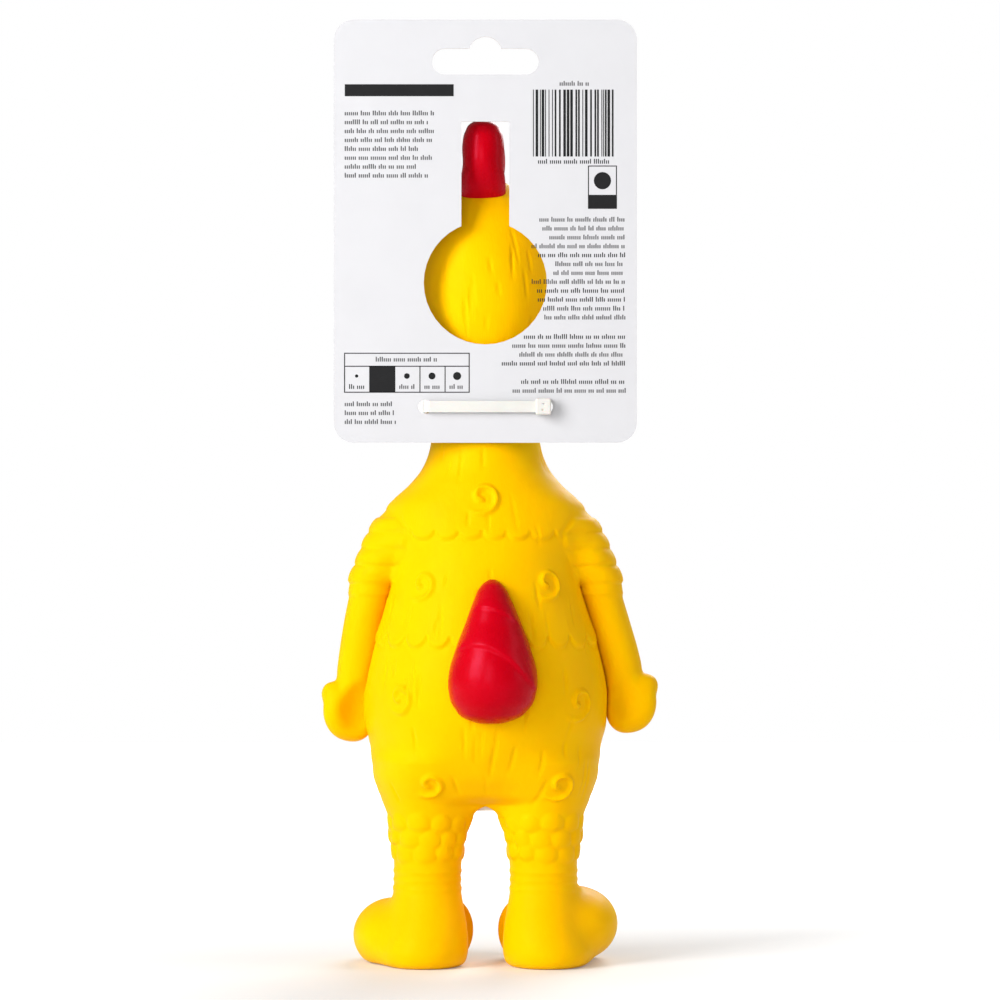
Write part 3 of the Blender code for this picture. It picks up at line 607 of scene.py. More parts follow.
def leg_scales(p):
    """Rows of small scales over the knee, sharper at their lower edges, and rings round the shank."""
    relief = np.zeros(len(p))
    middle_x, middle_y = SHANK_MIDDLE
    shift, shift_rate = SCALE_SHIFT
    rise, rise_by_scale, rise_by_row = SCALE_WAVE
    angle = np.arctan2(p[:, 1] - middle_y, np.abs(p[:, 0]) - middle_x) / (2 * math.pi)
    for number, z in enumerate(SCALE_ROWS_Z):
        count = SCALE_COUNT - (number == 0)
        u = angle * count + 0.5 * (number % 2) + shift * np.sin(angle * shift_rate)
        across = 2 * (np.mod(u, 1.0) - 0.5)
        wave = rise * np.sin(rise_by_scale * np.floor(u) + rise_by_row * number)
        upright = p[:, 2] - z - wave
        upright = upright / np.where(upright > 0, *SCALE_REACH)
        dome = np.clip(1 - across**2 - upright**2, 0, 1) ** SCALE_ROUNDNESS
        relief = np.maximum(relief, (SCALE_HEIGHT[0] + SCALE_HEIGHT[1] * wave) * dome)
    for z in SHANK_RINGS:
        relief += SHANK_RING[0] * np.exp(-(((p[:, 2] - z) / SHANK_RING[1]) ** 2))
    return relief * smooth_step((p[:, 2] - LEG_RELIEF_Z[0]) / LEG_RELIEF_Z[1])


def grooves(p):
    """Short upright grooves, scattered round the body and neck."""
    draw = np.random.default_rng(GROOVE_SEED)
    groove = np.zeros(len(p))
    angle = np.arctan2(p[:, 1], p[:, 0])
    radius = np.hypot(p[:, 0], p[:, 1])
    for _ in range(GROOVES):
        at = draw.uniform(-math.pi, math.pi)
        z = draw.uniform(*GROOVE_Z)
        half = draw.uniform(*GROOVE_HALF_LENGTH)
        depth = draw.uniform(*GROOVE_DEPTH)
        lean = draw.uniform(-GROOVE_LEAN, GROOVE_LEAN)
        up = p[:, 2] - z
        turn = np.mod(angle - at + math.pi, 2 * math.pi) - math.pi
        near = np.flatnonzero((np.abs(up) < half) & (np.abs(turn) < GROOVE_SPREAD))
        across = turn[near] * radius[near] - lean * up[near]
        taper = np.clip(1 - (up[near] / half) ** 2, 0, 1)
        groove[near] += depth * taper * np.exp(-((across / GROOVE_WIDTH) ** 2))
    return -groove


def clear_of_sleeve(p):
    """1 on the body and 0 on the sleeves, whose rings begin there."""
    start = np.interp(p[:, 2], RING_EDGES, RING_INNER_X) - SLEEVE_CLEARANCE[0]
    share = 1 - smooth_step((np.abs(p[:, 0]) - start) / SLEEVE_CLEARANCE[1])
    return np.where((p[:, 2] > CLEAR_FROM_Z) & (p[:, 2] < SHOULDER_TO_Z), share, 1.0)


def skin_relief(p):
    """How far the body's and the legs' skin stands out from its smooth form."""
    relief = np.zeros(len(p))
    for cusp_z, depth, count, turn in SCALLOP_ROWS:
        relief += scallops(p, cusp_z, depth, count, turn)
    relief += grooves(p)
    relief *= clear_of_sleeve(p)
    add_spirals(p, relief)
    shoulder = (p[:, 2] > SHOULDER_FROM_Z) & (p[:, 2] < SHOULDER_TO_Z)
    shoulder &= np.abs(p[:, 0]) > SHOULDER_FROM_X
    relief[shoulder] += rings(p[shoulder])
    low = p[:, 2] < LEG_RELIEF_TOP_Z
    relief[low] = leg_scales(p[low])
    return relief


def arm_relief(p):
    relief = np.zeros(len(p))
    shoulder = p[:, 2] > SHOULDER_FROM_Z
    relief[shoulder] = rings(p[shoulder]) + grooves(p[shoulder]) * clear_of_sleeve(p[shoulder])
    return relief


# ---------------------------------------------------------------- materials

NOISE_ROUGHNESS = 0.55
NOISE_MIDDLE = (0.3, 0.7)  # the range that holds most of a noise's values
PATCH_MIDDLE = (0.35, 0.68)
PATCH_DETAIL = 4.0
PLASTIC_GRAIN = (900.0, 0.05, 0.6)  # scale, depth and strength
FRONT_BANDS = ((262.0, 0.2), (167.0, -0.2))  # edge of each band on the card's front, and its softness
FRONT_INK = ((0.02, 0.30, 0.36), (0.025, 0.34, 0.40))


class Finish:
    """A procedural material, put together one node at a time. Coordinates are the piece's, in metres."""

    def __init__(self, name, colour, roughness, **constants):
        self.material = bpy.data.materials.new(name)
        self.material.use_nodes = True
        self.tree = self.material.node_tree
        self.shader = self.tree.nodes["Principled BSDF"]
        self.set("Base Color", (*colour, 1.0))
        self.set("Roughness", roughness)
        for socket, value in constants.items():
            self.set(socket.replace("_", " "), value)
        self.place = self.node("ShaderNodeTexCoord").outputs["Object"]
        self.bumps = None

    def set(self, socket, value):
        self.shader.inputs[socket].default_value = value

    def node(self, kind, **settings):
        made = self.tree.nodes.new(kind)
        for name, value in settings.items():
            setattr(made, name, value)
        return made

    def link(self, output, socket):
        self.tree.links.new(output, socket)

    def noise(self, scale, stretch=(1, 1, 1), detail=3.0):
        mapping = self.node("ShaderNodeMapping")
        mapping.inputs["Scale"].default_value = stretch
        self.link(self.place, mapping.inputs["Vector"])
        texture = self.node("ShaderNodeTexNoise")
        texture.inputs["Scale"].default_value = scale
        texture.inputs["Detail"].default_value = detail
        texture.inputs["Roughness"].default_value = NOISE_ROUGHNESS
        self.link(mapping.outputs["Vector"], texture.inputs["Vector"])
        return texture.outputs["Fac"]

    def ranged(self, value, low, high, to_low, to_high):
        node = self.node("ShaderNodeMapRange")
        for socket, number in zip(("From Min", "From Max", "To Min", "To Max"), (low, high, to_low, to_high)):
            node.inputs[socket].default_value = number
        self.link(value, node.inputs["Value"])
        return node.outputs["Result"]

    def clouds(self, scale, stretch=(1, 1, 1)):
        """A share from 0 to 1 that varies softly."""
        return self.ranged(self.noise(scale, stretch), *NOISE_MIDDLE, 0.0, 1.0)

    def patches(self, scale):
        """As clouds, in larger patches with finer edges."""
        return self.ranged(self.noise(scale, detail=PATCH_DETAIL), *PATCH_MIDDLE, 0.0, 1.0)

    def mixed(self, share, first, second):
        node = self.node("ShaderNodeMix", data_type="RGBA")
        for socket, colour in ((node.inputs[6], first), (node.inputs[7], second)):
            if isinstance(colour, tuple):
                socket.default_value = (*colour, 1.0)
            else:
                self.link(colour, socket)
        self.link(share, node.inputs[0])
        return node.outputs[2]

    def colour(self, output):
        self.link(output, self.shader.inputs["Base Color"])

    def roughness(self, scale, low, high):
        """An uneven gloss, between these roughnesses."""
        share = self.ranged(self.noise(scale), *NOISE_MIDDLE, low, high)
        self.link(share, self.shader.inputs["Roughness"])

    def bump(self, height, distance, strength):
        """Adds to the normal. The distance is in millimetres."""
        node = self.node("ShaderNodeBump")
        node.inputs["Distance"].default_value = distance * MM
        node.inputs["Strength"].default_value = strength
        self.link(height, node.inputs["Height"])
        if self.bumps:
            self.link(self.bumps, node.inputs["Normal"])
        self.bumps = node.outputs["Normal"]
        self.link(self.bumps, self.shader.inputs["Normal"])


def yellow_latex():
    finish = Finish(
        "yellow_latex",
        (0.95, 0.47, 0.0),
        0.48,
        Subsurface_Weight=0.25,
        Subsurface_Radius=(1.0, 0.3, 0.02),
        Subsurface_Scale=1.5 * MM,
        Specular_IOR_Level=0.09,
        Specular_Tint=(1.0, 0.75, 0.08, 1.0),
    )
    patches = finish.patches(45.0)
    finish.colour(finish.mixed(patches, (0.95, 0.495, 0.0), (0.96, 0.53, 0.0)))
    finish.roughness(260.0, 0.38, 0.52)
    finish.bump(finish.noise(1300.0, (1, 1, 0.16), detail=2.0), 0.10, 0.5)
    finish.bump(finish.noise(420.0, (1, 1, 0.3), detail=3.0), 0.25, 0.35)
    return finish.material


def red_latex():
    finish = Finish(
        "red_latex",
        (0.53, 0.0, 0.006),
        0.26,
        Subsurface_Weight=0.1,
        Subsurface_Radius=(1.0, 0.05, 0.03),
        Subsurface_Scale=1.2 * MM,
        Specular_IOR_Level=0.16,
        Specular_Tint=(1.0, 0.25, 0.5, 1.0),
    )
    patches = finish.patches(60.0)
    finish.colour(finish.mixed(patches, (0.49, 0.0, 0.005), (0.56, 0.0, 0.008)))
    finish.roughness(300.0, 0.22, 0.34)
    finish.bump(finish.noise(700.0, (1, 1, 0.35), detail=3.0), 0.10, 0.5)
    return finish.material


def orange_latex():
    finish = Finish(
        "orange_latex",
        (0.90, 0.22, 0.005),
        0.36,
        Subsurface_Weight=0.2,
        Subsurface_Radius=(1.0, 0.3, 0.05),
        Subsurface_Scale=1.2 * MM,
        Specular_IOR_Level=0.35,
    )
    patches = finish.patches(120.0)
    finish.colour(finish.mixed(patches, (0.88, 0.20, 0.004), (0.93, 0.26, 0.006)))
    finish.roughness(400.0, 0.3, 0.44)
    finish.bump(finish.noise(900.0, (1, 0.4, 1), detail=3.0), 0.12, 0.5)
    return finish.material


def plastic(name, colour, roughness, **constants):
    """Moulded plastic or paint with a faint grain and an uneven gloss."""
    finish = Finish(name, colour, roughness, **constants)
    dim = tuple(0.93 * part for part in colour)
    finish.colour(finish.mixed(finish.clouds(90.0), dim, colour))
    finish.roughness(350.0, roughness - 0.05, roughness + 0.08)
    scale, depth, strength = PLASTIC_GRAIN
    finish.bump(finish.noise(scale), depth, strength)
    return finish.material


def board():
    """Coated white board with two plain bands on its front, whose cut edges show the brown core."""
    finish = Finish("coated_board", (0.86, 0.86, 0.88), 0.42, Specular_IOR_Level=0.35)
    facing = finish.node("ShaderNodeSeparateXYZ")
    finish.link(finish.node("ShaderNodeNewGeometry").outputs["Normal"], facing.inputs["Vector"])
    across = finish.node("ShaderNodeMath", operation="ABSOLUTE")
    finish.link(facing.outputs["Y"], across.inputs[0])
    face = finish.ranged(across.outputs["Value"], 0.45, 0.75, 0.0, 1.0)
    fibres = finish.clouds(2200.0, (1, 1, 0.3))
    core = finish.mixed(fibres, (0.42, 0.27, 0.15), (0.62, 0.45, 0.29))
    clouds = finish.clouds(70.0)
    coating = finish.mixed(clouds, (0.605, 0.602, 0.62), (0.62, 0.617, 0.635))
    place = finish.node("ShaderNodeSeparateXYZ")
    finish.link(finish.place, place.inputs["Vector"])
    for z, soft in FRONT_BANDS:
        band = finish.ranged(place.outputs["Z"], z * MM, (z + soft) * MM, 0.0, 1.0)
        front = finish.node("ShaderNodeMath", operation="MULTIPLY")
        finish.link(band, front.inputs[0])
        finish.link(finish.ranged(facing.outputs["Y"], -0.6, -0.4, 1.0, 0.0), front.inputs[1])
        coating = finish.mixed(front.outputs["Value"], coating, finish.mixed(clouds, *FRONT_INK))
    finish.colour(finish.mixed(face, core, coating))
    finish.roughness(500.0, 0.38, 0.5)
    finish.bump(finish.noise(1500.0), 0.02, 0.5)
    return finish.material


# ---------------------------------------------------------------- pieces


def attach(piece, body, slot, *nodes):
    """Makes the piece ride on the body, in place of the CAD nodes if there are any."""
    if nodes:
        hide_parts(*nodes)
    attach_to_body(piece, body)


def skin_piece(name, mesh, here, latex, *nodes):
    """The faces of the mesh that lie here, in place of the CAD nodes."""
    points, faces, normals = mesh
    piece = mesh_piece(f"skin_{name}", points, faces[here], latex, normals)
    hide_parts(*nodes)
    return piece


def bend(piece, start, end):
    """Bakes the piece's transform into its mesh. The start and end are turned into the imported frame, and
    the results are not used.
    """
    to_frame(start)
    to_frame(end)
    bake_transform(piece)


def build_skin(latex):
    """The yellow skin, divided where it bends. Both surfaces lie on one grid, so they meet at the armpits."""
    points, faces = surface(torso_side_field, SKIN_LOW, SKIN_HIGH)
    points, outward = settled(torso_side_field, points)
    arm_points, arm_faces = surface(arm_side_field, ARMS_LOW, ARMS_HIGH)
    arm_points, arm_outward = settled(arm_side_field, arm_points)
    points = points + outward * skin_relief(points)[:, None]
    arm_points = arm_points + arm_outward * arm_relief(arm_points)[:, None]
    points[:, 2] = np.maximum(points[:, 2], 0.0)
    skin = (points, faces, vertex_normals(points, faces))
    arms = (arm_points, arm_faces, vertex_normals(arm_points, arm_faces))
    middle = points[faces].mean(axis=1)
    arm_middle = arm_points[arm_faces].mean(axis=1)
    beyond = (middle[:, 2] > ARMPIT_CUT_Z) & on_arm(middle)
    leg = middle[:, 2] < HIP_Z
    head = middle[:, 2] > HEAD_PART_Z
    below = arm_middle[:, 2] < ARMPIT_CUT_Z
    below[below] = arm_field(arm_middle[below]) < ARMPIT_RIM
    arm = below | on_arm(arm_middle)
    body = skin_piece("body", skin, ~beyond & ~leg & ~head, latex, "torso_shell", "neck")
    bend(body, (0, 0, NECK_BEND_Z[0]), (0, 0, NECK_BEND_Z[1]))
    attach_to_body(skin_piece("head", skin, head, latex, "head_shell"), "head")
    for side, name in SIDE_NAMES.items():
        here = arm & (arm_middle[:, 0] * side > 0)
        piece = skin_piece(f"{name}_arm", arms, here, latex, f"{name}_sleeve", f"{name}_wing")
        start = (side * ARMPIT[0], 0, ARMPIT[1])
        end = (side * (ARMPIT[0] + ARM_BEND[0]), 0, ARMPIT[1] + ARM_BEND[1])
        bend(piece, start, end)
        here = leg & (middle[:, 0] * side > 0)
        piece = skin_piece(f"{name}_leg", skin, here, latex, f"{name}_shank", f"{name}_foot")
        bend(piece, (0, 0, HIP_Z - HIP_BEND_DROP), (0, 0, ANKLE_Z))


# ---------------------------------------------------------------- tail and comb

TAIL_ROWS = (
    (75.0, -1.6, 29.2, 4.0, 4.6),
    (76.2, -1.7, 29.2, 7.4, 7.2),
    (79.5, -2.0, 29.2, 11.2, 10.6),
    (84.5, -2.2, 29.2, 13.1, 12.8),
    (90.0, -2.3, 29.2, 13.1, 13.2),
    (97.0, -2.4, 29.0, 11.2, 11.8),
    (105.0, -2.4, 28.4, 8.2, 9.0),
    (112.0, -2.2, 27.4, 5.4, 6.4),
    (115.2, -2.1, 26.4, 3.8, 4.6),
    (116.8, -2.1, 26.0, 2.3, 3.0),
    (117.7, -2.1, 25.6, 0.8, 1.2),
)
TAIL_STEPS = ((97.6, 1.2, 0.7), (108.8, -0.6, 0.5))  # height, middle x and depth of each feather step
TAIL_STEP_CURVE = (0.045, -0.12)  # how its edge drops away from its middle, squared and straight
TAIL_STEP_SPAN = (0.9, 8.0)  # over how far it rises and dies away
TAIL_STEP_Y = (30.0, 6.0)  # where the steps begin, and over how far they come in
FORM_MARGIN = 2.0
COMB_ROWS = (
    (230.0, 0.7, 2.0, 6.4, 4.2),
    (233.5, 0.7, 4.2, 6.9, 5.4),
    (237.0, 0.8, 6.4, 6.9, 6.0),
    (243.0, 0.7, 8.4, 6.2, 6.4),
    (249.0, 0.7, 8.2, 6.3, 6.4),
    (253.0, 0.7, 7.8, 5.4, 5.7),
    (255.4, 0.7, 7.6, 3.7, 4.0),
    (256.5, 0.7, 7.4, 1.5, 1.7),
)
COMB_LOBES = (
    ((0, -2.0, 244.5), (6.0, 7.2, 13.0)),
    ((0, -12.0, 237.0), (5.2, 6.2, 10.0)),
)
COMB_BLEND = 1.6
COMB_LOW = (-9.0, -20.0, 226.0)
COMB_HIGH = (9.0, 17.0, 260.0)
SUNK = 1.2  # how far a separate piece reaches into the yellow skin
SUNK_BLEND = 0.3


def sunk(field):
    """The field cut off a little inside the skin."""
    return lambda p: smooth_max(field(p), -(body_field(p) + SUNK), SUNK_BLEND)


def field_piece(name, field, low, high, finish, relief=None, voxel=VOXEL):
    points, faces = surface(field, low, high, voxel)
    points, outward = settled(field, points)
    if relief is not None:
        points = points + outward * relief(points)[:, None]
    return mesh_piece(name, points, faces, finish)


def build_tail(red):
    form = Loft(TAIL_ROWS)
    curved, straight = TAIL_STEP_CURVE
    rise, fade = TAIL_STEP_SPAN

    def feather_steps(p):
        step = np.zeros(len(p))
        for z, x, depth in TAIL_STEPS:
            dx = p[:, 0] - x
            over = p[:, 2] - z + curved * dx**2 + straight * dx
            step += depth * smooth_step(over / rise) * (1 - smooth_step(over / fade))
        return step * smooth_step((p[:, 1] - TAIL_STEP_Y[0]) / TAIL_STEP_Y[1])

    low = form.low - FORM_MARGIN
    high = form.high + FORM_MARGIN
    tail = field_piece("tail_skin", sunk(form.distance), low, high, red, feather_steps)
    attach(tail, "torso", "red_latex", "tail")


def build_comb(red):
    lobes = [Loft(COMB_ROWS)] + [Ellipsoid(centre, radii, COMB_BLEND) for centre, radii in COMB_LOBES]
    comb = field_piece("comb_skin", sunk(lambda p: union(lobes, p)), COMB_LOW, COMB_HIGH, red)
    attach(comb, "head", "red_latex", "comb")


# ---------------------------------------------------------------- face

BEAK_ROOT = (0.0, -21.0, 199.4)
UPPER_BEAK_RADII = (8.6, 19.0, 8.0)
LOWER_BEAK_RADII = (7.0, 14.0, 5.2)
BEAK_TIP = ((0.0, -36.2, 199.6), (3.0, 3.6, 3.4))
NOSTRIL = ((3.4, -31.5, 204.6), (0.9, 2.2, 1.0))
MOUTH_GAP = 0.3
MOUTH_EDGE = 1.0
BEAK_TIP_BLEND = 2.0
NOSTRIL_EDGE = 0.6
EYE = ((7.9, -17.4, 213.0), (7.2, 7.0, 7.6))
PUPIL = ((7.3, -24.3, 213.2), (2.7, 1.7, 2.9))
LID_THICK = 0.9
LID_EDGE_Z = 214.6
LID_SLOPE = -0.17  # the lid's edge falls towards the outside
LID_EDGE = 0.5
LID_SUNK = 0.4  # how far the lid and the pupil reach into the eyeball
PUPIL_SUNK = 0.3
WATTLE = ((4.3, -20.6, 187.0), (3.9, 4.0, 8.0))
WATTLE_TOP = ((3.2, -18.0, 193.0), (2.6, 3.2, 4.0))
WATTLE_BLEND = 2.0
FACE_VOXEL = 0.45
FACE_MARGIN = 2.5


def face_piece(name, field, form, finish, body, slot, *nodes):
    """A piece meshed in a box round this form's centre, in place of the CAD nodes."""
    reach = form.radii + FACE_MARGIN
    low = form.centre - reach
    high = form.centre + reach
    piece = field_piece(name, field, low, high, finish, voxel=FACE_VOXEL)
    attach(piece, body, slot, *nodes)


def build_beak(orange):
    nostrils = [Ellipsoid(mirrored(np.array(NOSTRIL[0]), side), NOSTRIL[1]) for side in (LEFT, RIGHT)]
    upper = Ellipsoid(BEAK_ROOT, UPPER_BEAK_RADII)
    tip = Ellipsoid(*BEAK_TIP)
    lower = Ellipsoid(BEAK_ROOT, LOWER_BEAK_RADII)
    mouth_z = BEAK_ROOT[2]

    def upper_field(p):
        beak = smooth_min(upper.distance(p), tip.distance(p), BEAK_TIP_BLEND)
        for nostril in nostrils:
            beak = smooth_max(beak, -nostril.distance(p), NOSTRIL_EDGE)
        return smooth_max(beak, mouth_z + MOUTH_GAP / 2 - p[:, 2], MOUTH_EDGE)

    def lower_field(p):
        return smooth_max(lower.distance(p), p[:, 2] - mouth_z + MOUTH_GAP / 2, MOUTH_EDGE)

    slot = "orange_latex"
    face_piece("beak_upper", sunk(upper_field), upper, orange, "head", slot, "upper_beak")
    face_piece("beak_lower", sunk(lower_field), lower, orange, "jaw", slot, "lower_beak")


def build_eyes(white, black, yellow):
    for side, name in SIDE_NAMES.items():
        centre = mirrored(np.array(EYE[0]), side)
        ball = Ellipsoid(centre, EYE[1])
        lid = Ellipsoid(centre, np.array(EYE[1]) + LID_THICK)
        pupil = Ellipsoid(mirrored(np.array(PUPIL[0]), side), PUPIL[1])

        def lid_field(p):
            edge = LID_EDGE_Z + LID_SLOPE * side * (p[:, 0] - centre[0])
            above = smooth_max(lid.distance(p), edge - p[:, 2], LID_EDGE)
            return np.maximum(above, -(ball.distance(p) + LID_SUNK))

        def pupil_field(p):
            return np.maximum(pupil.distance(p), -(ball.distance(p) + PUPIL_SUNK))

        eye = (f"{name}_eyeball", sunk(ball.distance), ball, white)
        dot = (f"{name}_pupil_dot", pupil_field, pupil, black)
        face_piece(*eye, "head", "eye_white", f"{name}_eye")
        face_piece(f"{name}_eyelid", sunk(lid_field), ball, yellow, "head", "yellow_latex")
        face_piece(*dot, "head", "eye_black", f"{name}_pupil")


def build_wattles(red):
    for side, name in SIDE_NAMES.items():
        drop = Ellipsoid(mirrored(np.array(WATTLE[0]), side), WATTLE[1])
        top = Ellipsoid(mirrored(np.array(WATTLE_TOP[0]), side), WATTLE_TOP[1])

        def wattle_field(p):
            return smooth_min(drop.distance(p), top.distance(p), WATTLE_BLEND)

        piece = (f"{name}_wattle_skin", sunk(wattle_field), drop, red)
        face_piece(*piece, "head", "red_latex", f"{name}_wattle")


# ---------------------------------------------------------------- lock of the tie

LOCK_CENTRE = (-17.4, 20.3, 169.4)
LOCK_HALF = (2.3, 1.9, 2.5)
LOCK_ROUND = 0.5
LOCK_DIMPLES = ((-17.6, 22.3, 170.2), (-17.3, 22.3, 168.4))
DIMPLE_RADII = (0.45, 0.5, 0.3)
DIMPLE_EDGE = 0.2
LOCK_VOXEL = 0.15
LOCK_MARGIN = 1.0


def build_lock(nylon):
    dimples = [Ellipsoid(centre, DIMPLE_RADII) for centre in LOCK_DIMPLES]

    def lock_field(p):
        q = np.abs(p - LOCK_CENTRE) - (np.array(LOCK_HALF) - LOCK_ROUND)
        block = np.linalg.norm(np.maximum(q, 0), axis=1) + np.minimum(q.max(axis=1), 0) - LOCK_ROUND
        for dimple in dimples:
            block = smooth_max(block, -dimple.distance(p), DIMPLE_EDGE)
        return block

    low = np.subtract(LOCK_CENTRE, LOCK_HALF) - LOCK_MARGIN
    high = np.add(LOCK_CENTRE, LOCK_HALF) + LOCK_MARGIN
    lock = field_piece("tie_lock", lock_field, low, high, nylon, voxel=LOCK_VOXEL)
    attach(lock, "head", "white_nylon", "tie_head")


# ---------------------------------------------------------------- print on the card

INK_RISE = 0.03  # the ink's outer face stands out this far, and its inner one lies this far in
INK_DEPTH = 0.06
PRINT_SEED = 11
STROKE_WIDTH = 0.3
STROKE_PITCH = 0.60
LETTER_HEIGHTS = (1.0, 1.0, 1.0, 1.45)
WORD_STROKES = (3, 9)
LINE_PITCH = 2.67
# Left and right edges from the card's left, the first line's top from its top, lines, and the even side.
TEXT_BLOCKS = (
    (3.3, 31.2, 27.3, 8, "left"),
    (59.0, 87.7, 59.2, 12, "right"),
    (49.5, 87.7, 94.4, 4, "right"),
    (50.5, 87.7, 107.9, 2, "right"),
    (3.3, 22.0, 114.6, 3, "left"),
)
SHORT_LINE = 0.28  # the most that a line falls short, as a share of its block
HEADING = (3.3, 36.0, 19.4, 3.6)  # left, right, top and height, as in the next three
BARS = (59.8, 84.7, 21.0, 20.1)
TABLE = (3.1, 40.8, 100.0, 12.0)
SYMBOL = (76.3, 85.0, 43.8, 13.0)
BAR_UNIT = 0.26
BAR_UNITS = (1, 4)
WIDEST_BAR = 4
BARS_ABOVE = (8.0, -2.6)  # inset of the line above the bars, and its top from theirs
BARS_BELOW = (1.5, 0.7)  # inset of the line below them, and its top from their lower ends
TABLE_TITLE = 3.9
TABLE_CELLS = 5
DARK_CELL = 1
TITLE_INSET = (9.5, 1.2)  # from the table's sides and top
CELL_INSET = (1.5, 1.2)  # of a cell's marks, from its sides
CELL_DOT_SHARE = 0.38  # down the cell, as is the next
CELL_LINE_SHARE = 0.68
CELL_DOT = (0.5, 0.18)  # radius in the first cell, and what each next one adds
LINE_WIDTH = 0.3
SYMBOL_LABEL = 3.9
SYMBOL_DOT = 2.6
DOT_SIDES = 20


class Ink:
    """Flat marks on the card, each a thin slab. Places are from its top left corner, seen from behind."""

    def __init__(self, corner):
        self.left, self.face_y, self.top = corner
        self.points = []
        self.faces = []

    def slab(self, outline):
        """A slab of this outline, whose points go clockwise as seen."""
        start = len(self.points)
        count = len(outline)
        for depth in (INK_RISE, -INK_DEPTH):
            self.points += [(self.left - x, self.face_y + depth, self.top - y) for x, y in outline]
        near = list(range(start, start + count))
        far = [index + count for index in near]
        self.faces.append(near)
        self.faces.append(far[::-1])
        for i in range(count):
            j = (i + 1) % count
            self.faces.append([near[j], near[i], far[i], far[j]])

    def box(self, left, right, top, height):
        self.slab([(left, top), (right, top), (right, top + height), (left, top + height)])

    def frame(self, left, right, top, height):
        """Four strips round a rectangle."""
        self.box(left, right, top, LINE_WIDTH)
        self.box(left, right, top + height - LINE_WIDTH, LINE_WIDTH)
        inner_top = top + LINE_WIDTH
        inner_height = height - 2 * LINE_WIDTH
        self.box(left, left + LINE_WIDTH, inner_top, inner_height)
        self.box(right - LINE_WIDTH, right, inner_top, inner_height)

    def dot(self, x, y, radius):
        turns = [2 * math.pi * i / DOT_SIDES for i in range(DOT_SIDES)]
        self.slab([(x + radius * math.cos(turn), y + radius * math.sin(turn)) for turn in turns])


def add_line(ink, draw, left, right, top):
    """A line of upright strokes in groups, which stands for text and spells nothing."""
    x = left
    while x < right:
        for _ in range(draw.integers(*WORD_STROKES)):
            if x + STROKE_WIDTH > right:
                break
            height = LETTER_HEIGHTS[draw.integers(len(LETTER_HEIGHTS))]
            ink.box(x, x + STROKE_WIDTH, top + max(LETTER_HEIGHTS) - height, height)
            x += STROKE_PITCH
        x += STROKE_PITCH


def add_bars(ink, draw):
    left, right, top, height = BARS
    x = left
    while x < right - WIDEST_BAR * BAR_UNIT:
        width = BAR_UNIT * draw.integers(*BAR_UNITS)
        ink.box(x, x + width, top, height)
        x += width + BAR_UNIT * draw.integers(*BAR_UNITS)
    inset, offset = BARS_ABOVE
    add_line(ink, draw, left + inset, right - inset, top + offset)
    inset, offset = BARS_BELOW
    add_line(ink, draw, left + inset, right - inset, top + height + offset)


def add_table(ink, draw):
    left, right, top, height = TABLE
    ink.frame(left, right, top, height)
    ink.box(left, right, top + TABLE_TITLE, LINE_WIDTH)
    inset, offset = TITLE_INSET
    add_line(ink, draw, left + inset, right - inset, top + offset)
    step = (right - left) / TABLE_CELLS
    cell_top = top + TABLE_TITLE
    cell_height = height - TABLE_TITLE
    for number in range(TABLE_CELLS):
        start = left + number * step
        if number == DARK_CELL:
            ink.box(start, start + step, cell_top, cell_height)
            continue
        ink.box(start, start + LINE_WIDTH, cell_top, cell_height)
        radius = CELL_DOT[0] + CELL_DOT[1] * number
        ink.dot(start + step / 2, cell_top + CELL_DOT_SHARE * cell_height, radius)
        line_top = cell_top + CELL_LINE_SHARE * cell_height
        add_line(ink, draw, start + CELL_INSET[0], start + step - CELL_INSET[1], line_top)


def add_symbol(ink):
    left, right, top, height = SYMBOL
    ink.frame(left, right, top, height - SYMBOL_LABEL)
    ink.box(left, right, top + height - SYMBOL_LABEL, SYMBOL_LABEL)
    ink.dot((left + right) / 2, top + (height - SYMBOL_LABEL) / 2, SYMBOL_DOT)


def build_print(black):
    corner = np.array(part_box("hang_card")[1]) / MM - np.array([0.0, AXIS_Y, 0.0])
    ink = Ink(corner)
    draw = np.random.default_rng(PRINT_SEED)
    left, right, top, height = HEADING
    ink.box(left, right, top, height)
    for block_left, block_right, block_top, lines, even in TEXT_BLOCKS:
        for number in range(lines):
            short = draw.uniform(0.0, SHORT_LINE) * (block_right - block_left)
            start = block_left if even == "left" else block_left + short
            end = block_right - short if even == "left" else block_right
            add_line(ink, draw, start, end, block_top + number * LINE_PITCH)
    add_bars(ink, draw)
    add_table(ink, draw)
    add_symbol(ink)
    mesh = bpy.data.meshes.new("card_print")
    mesh.from_pydata(to_frame(np.array(ink.points)).tolist(), [], ink.faces)
    piece = link("card_print", mesh, black)
    attach(piece, "card", "white_card")


def dress_nodes(finishes):
    """Gives each CAD node that still shows its material."""
    for name, finish in finishes.items():
        data = frame["nodes"][name].data
        data.materials.clear()
        data.materials.append(finish)


# ---------------------------------------------------------------- stage

CAMERA_DISTANCE = 1.3
CAMERA_X = -4.4
CAMERA_Z = 141.4
CARD_Y = 17.5
VIEW_WIDTH = 300.3  # seen at the card's distance
SENSOR = 36.0
FLOOR_SIZE = 2.4
FLOOR_GLOW = (0.12, 0.9)  # near the toy and far from it
GLOW_REACH = (0.05, 0.5)  # how near and how far that is, in metres
FILL = 0.25  # strength of the even light
LIGHT_TARGET = (0, 0, 0.13)
LIGHTS = (  # name, place, size and power
    ("key", (1.0, 0.9, 0.6), (0.7, 0.9), 22.0),
    ("back_fill", (0.3, 1.5, 0.35), (0.5, 0.8), 4.5),
    ("front", (-0.5, -1.2, 0.9), (0.9, 0.9), 13.0),
    ("side_fill", (-1.3, 0.3, 0.5), (0.8, 0.9), 4.0),
)


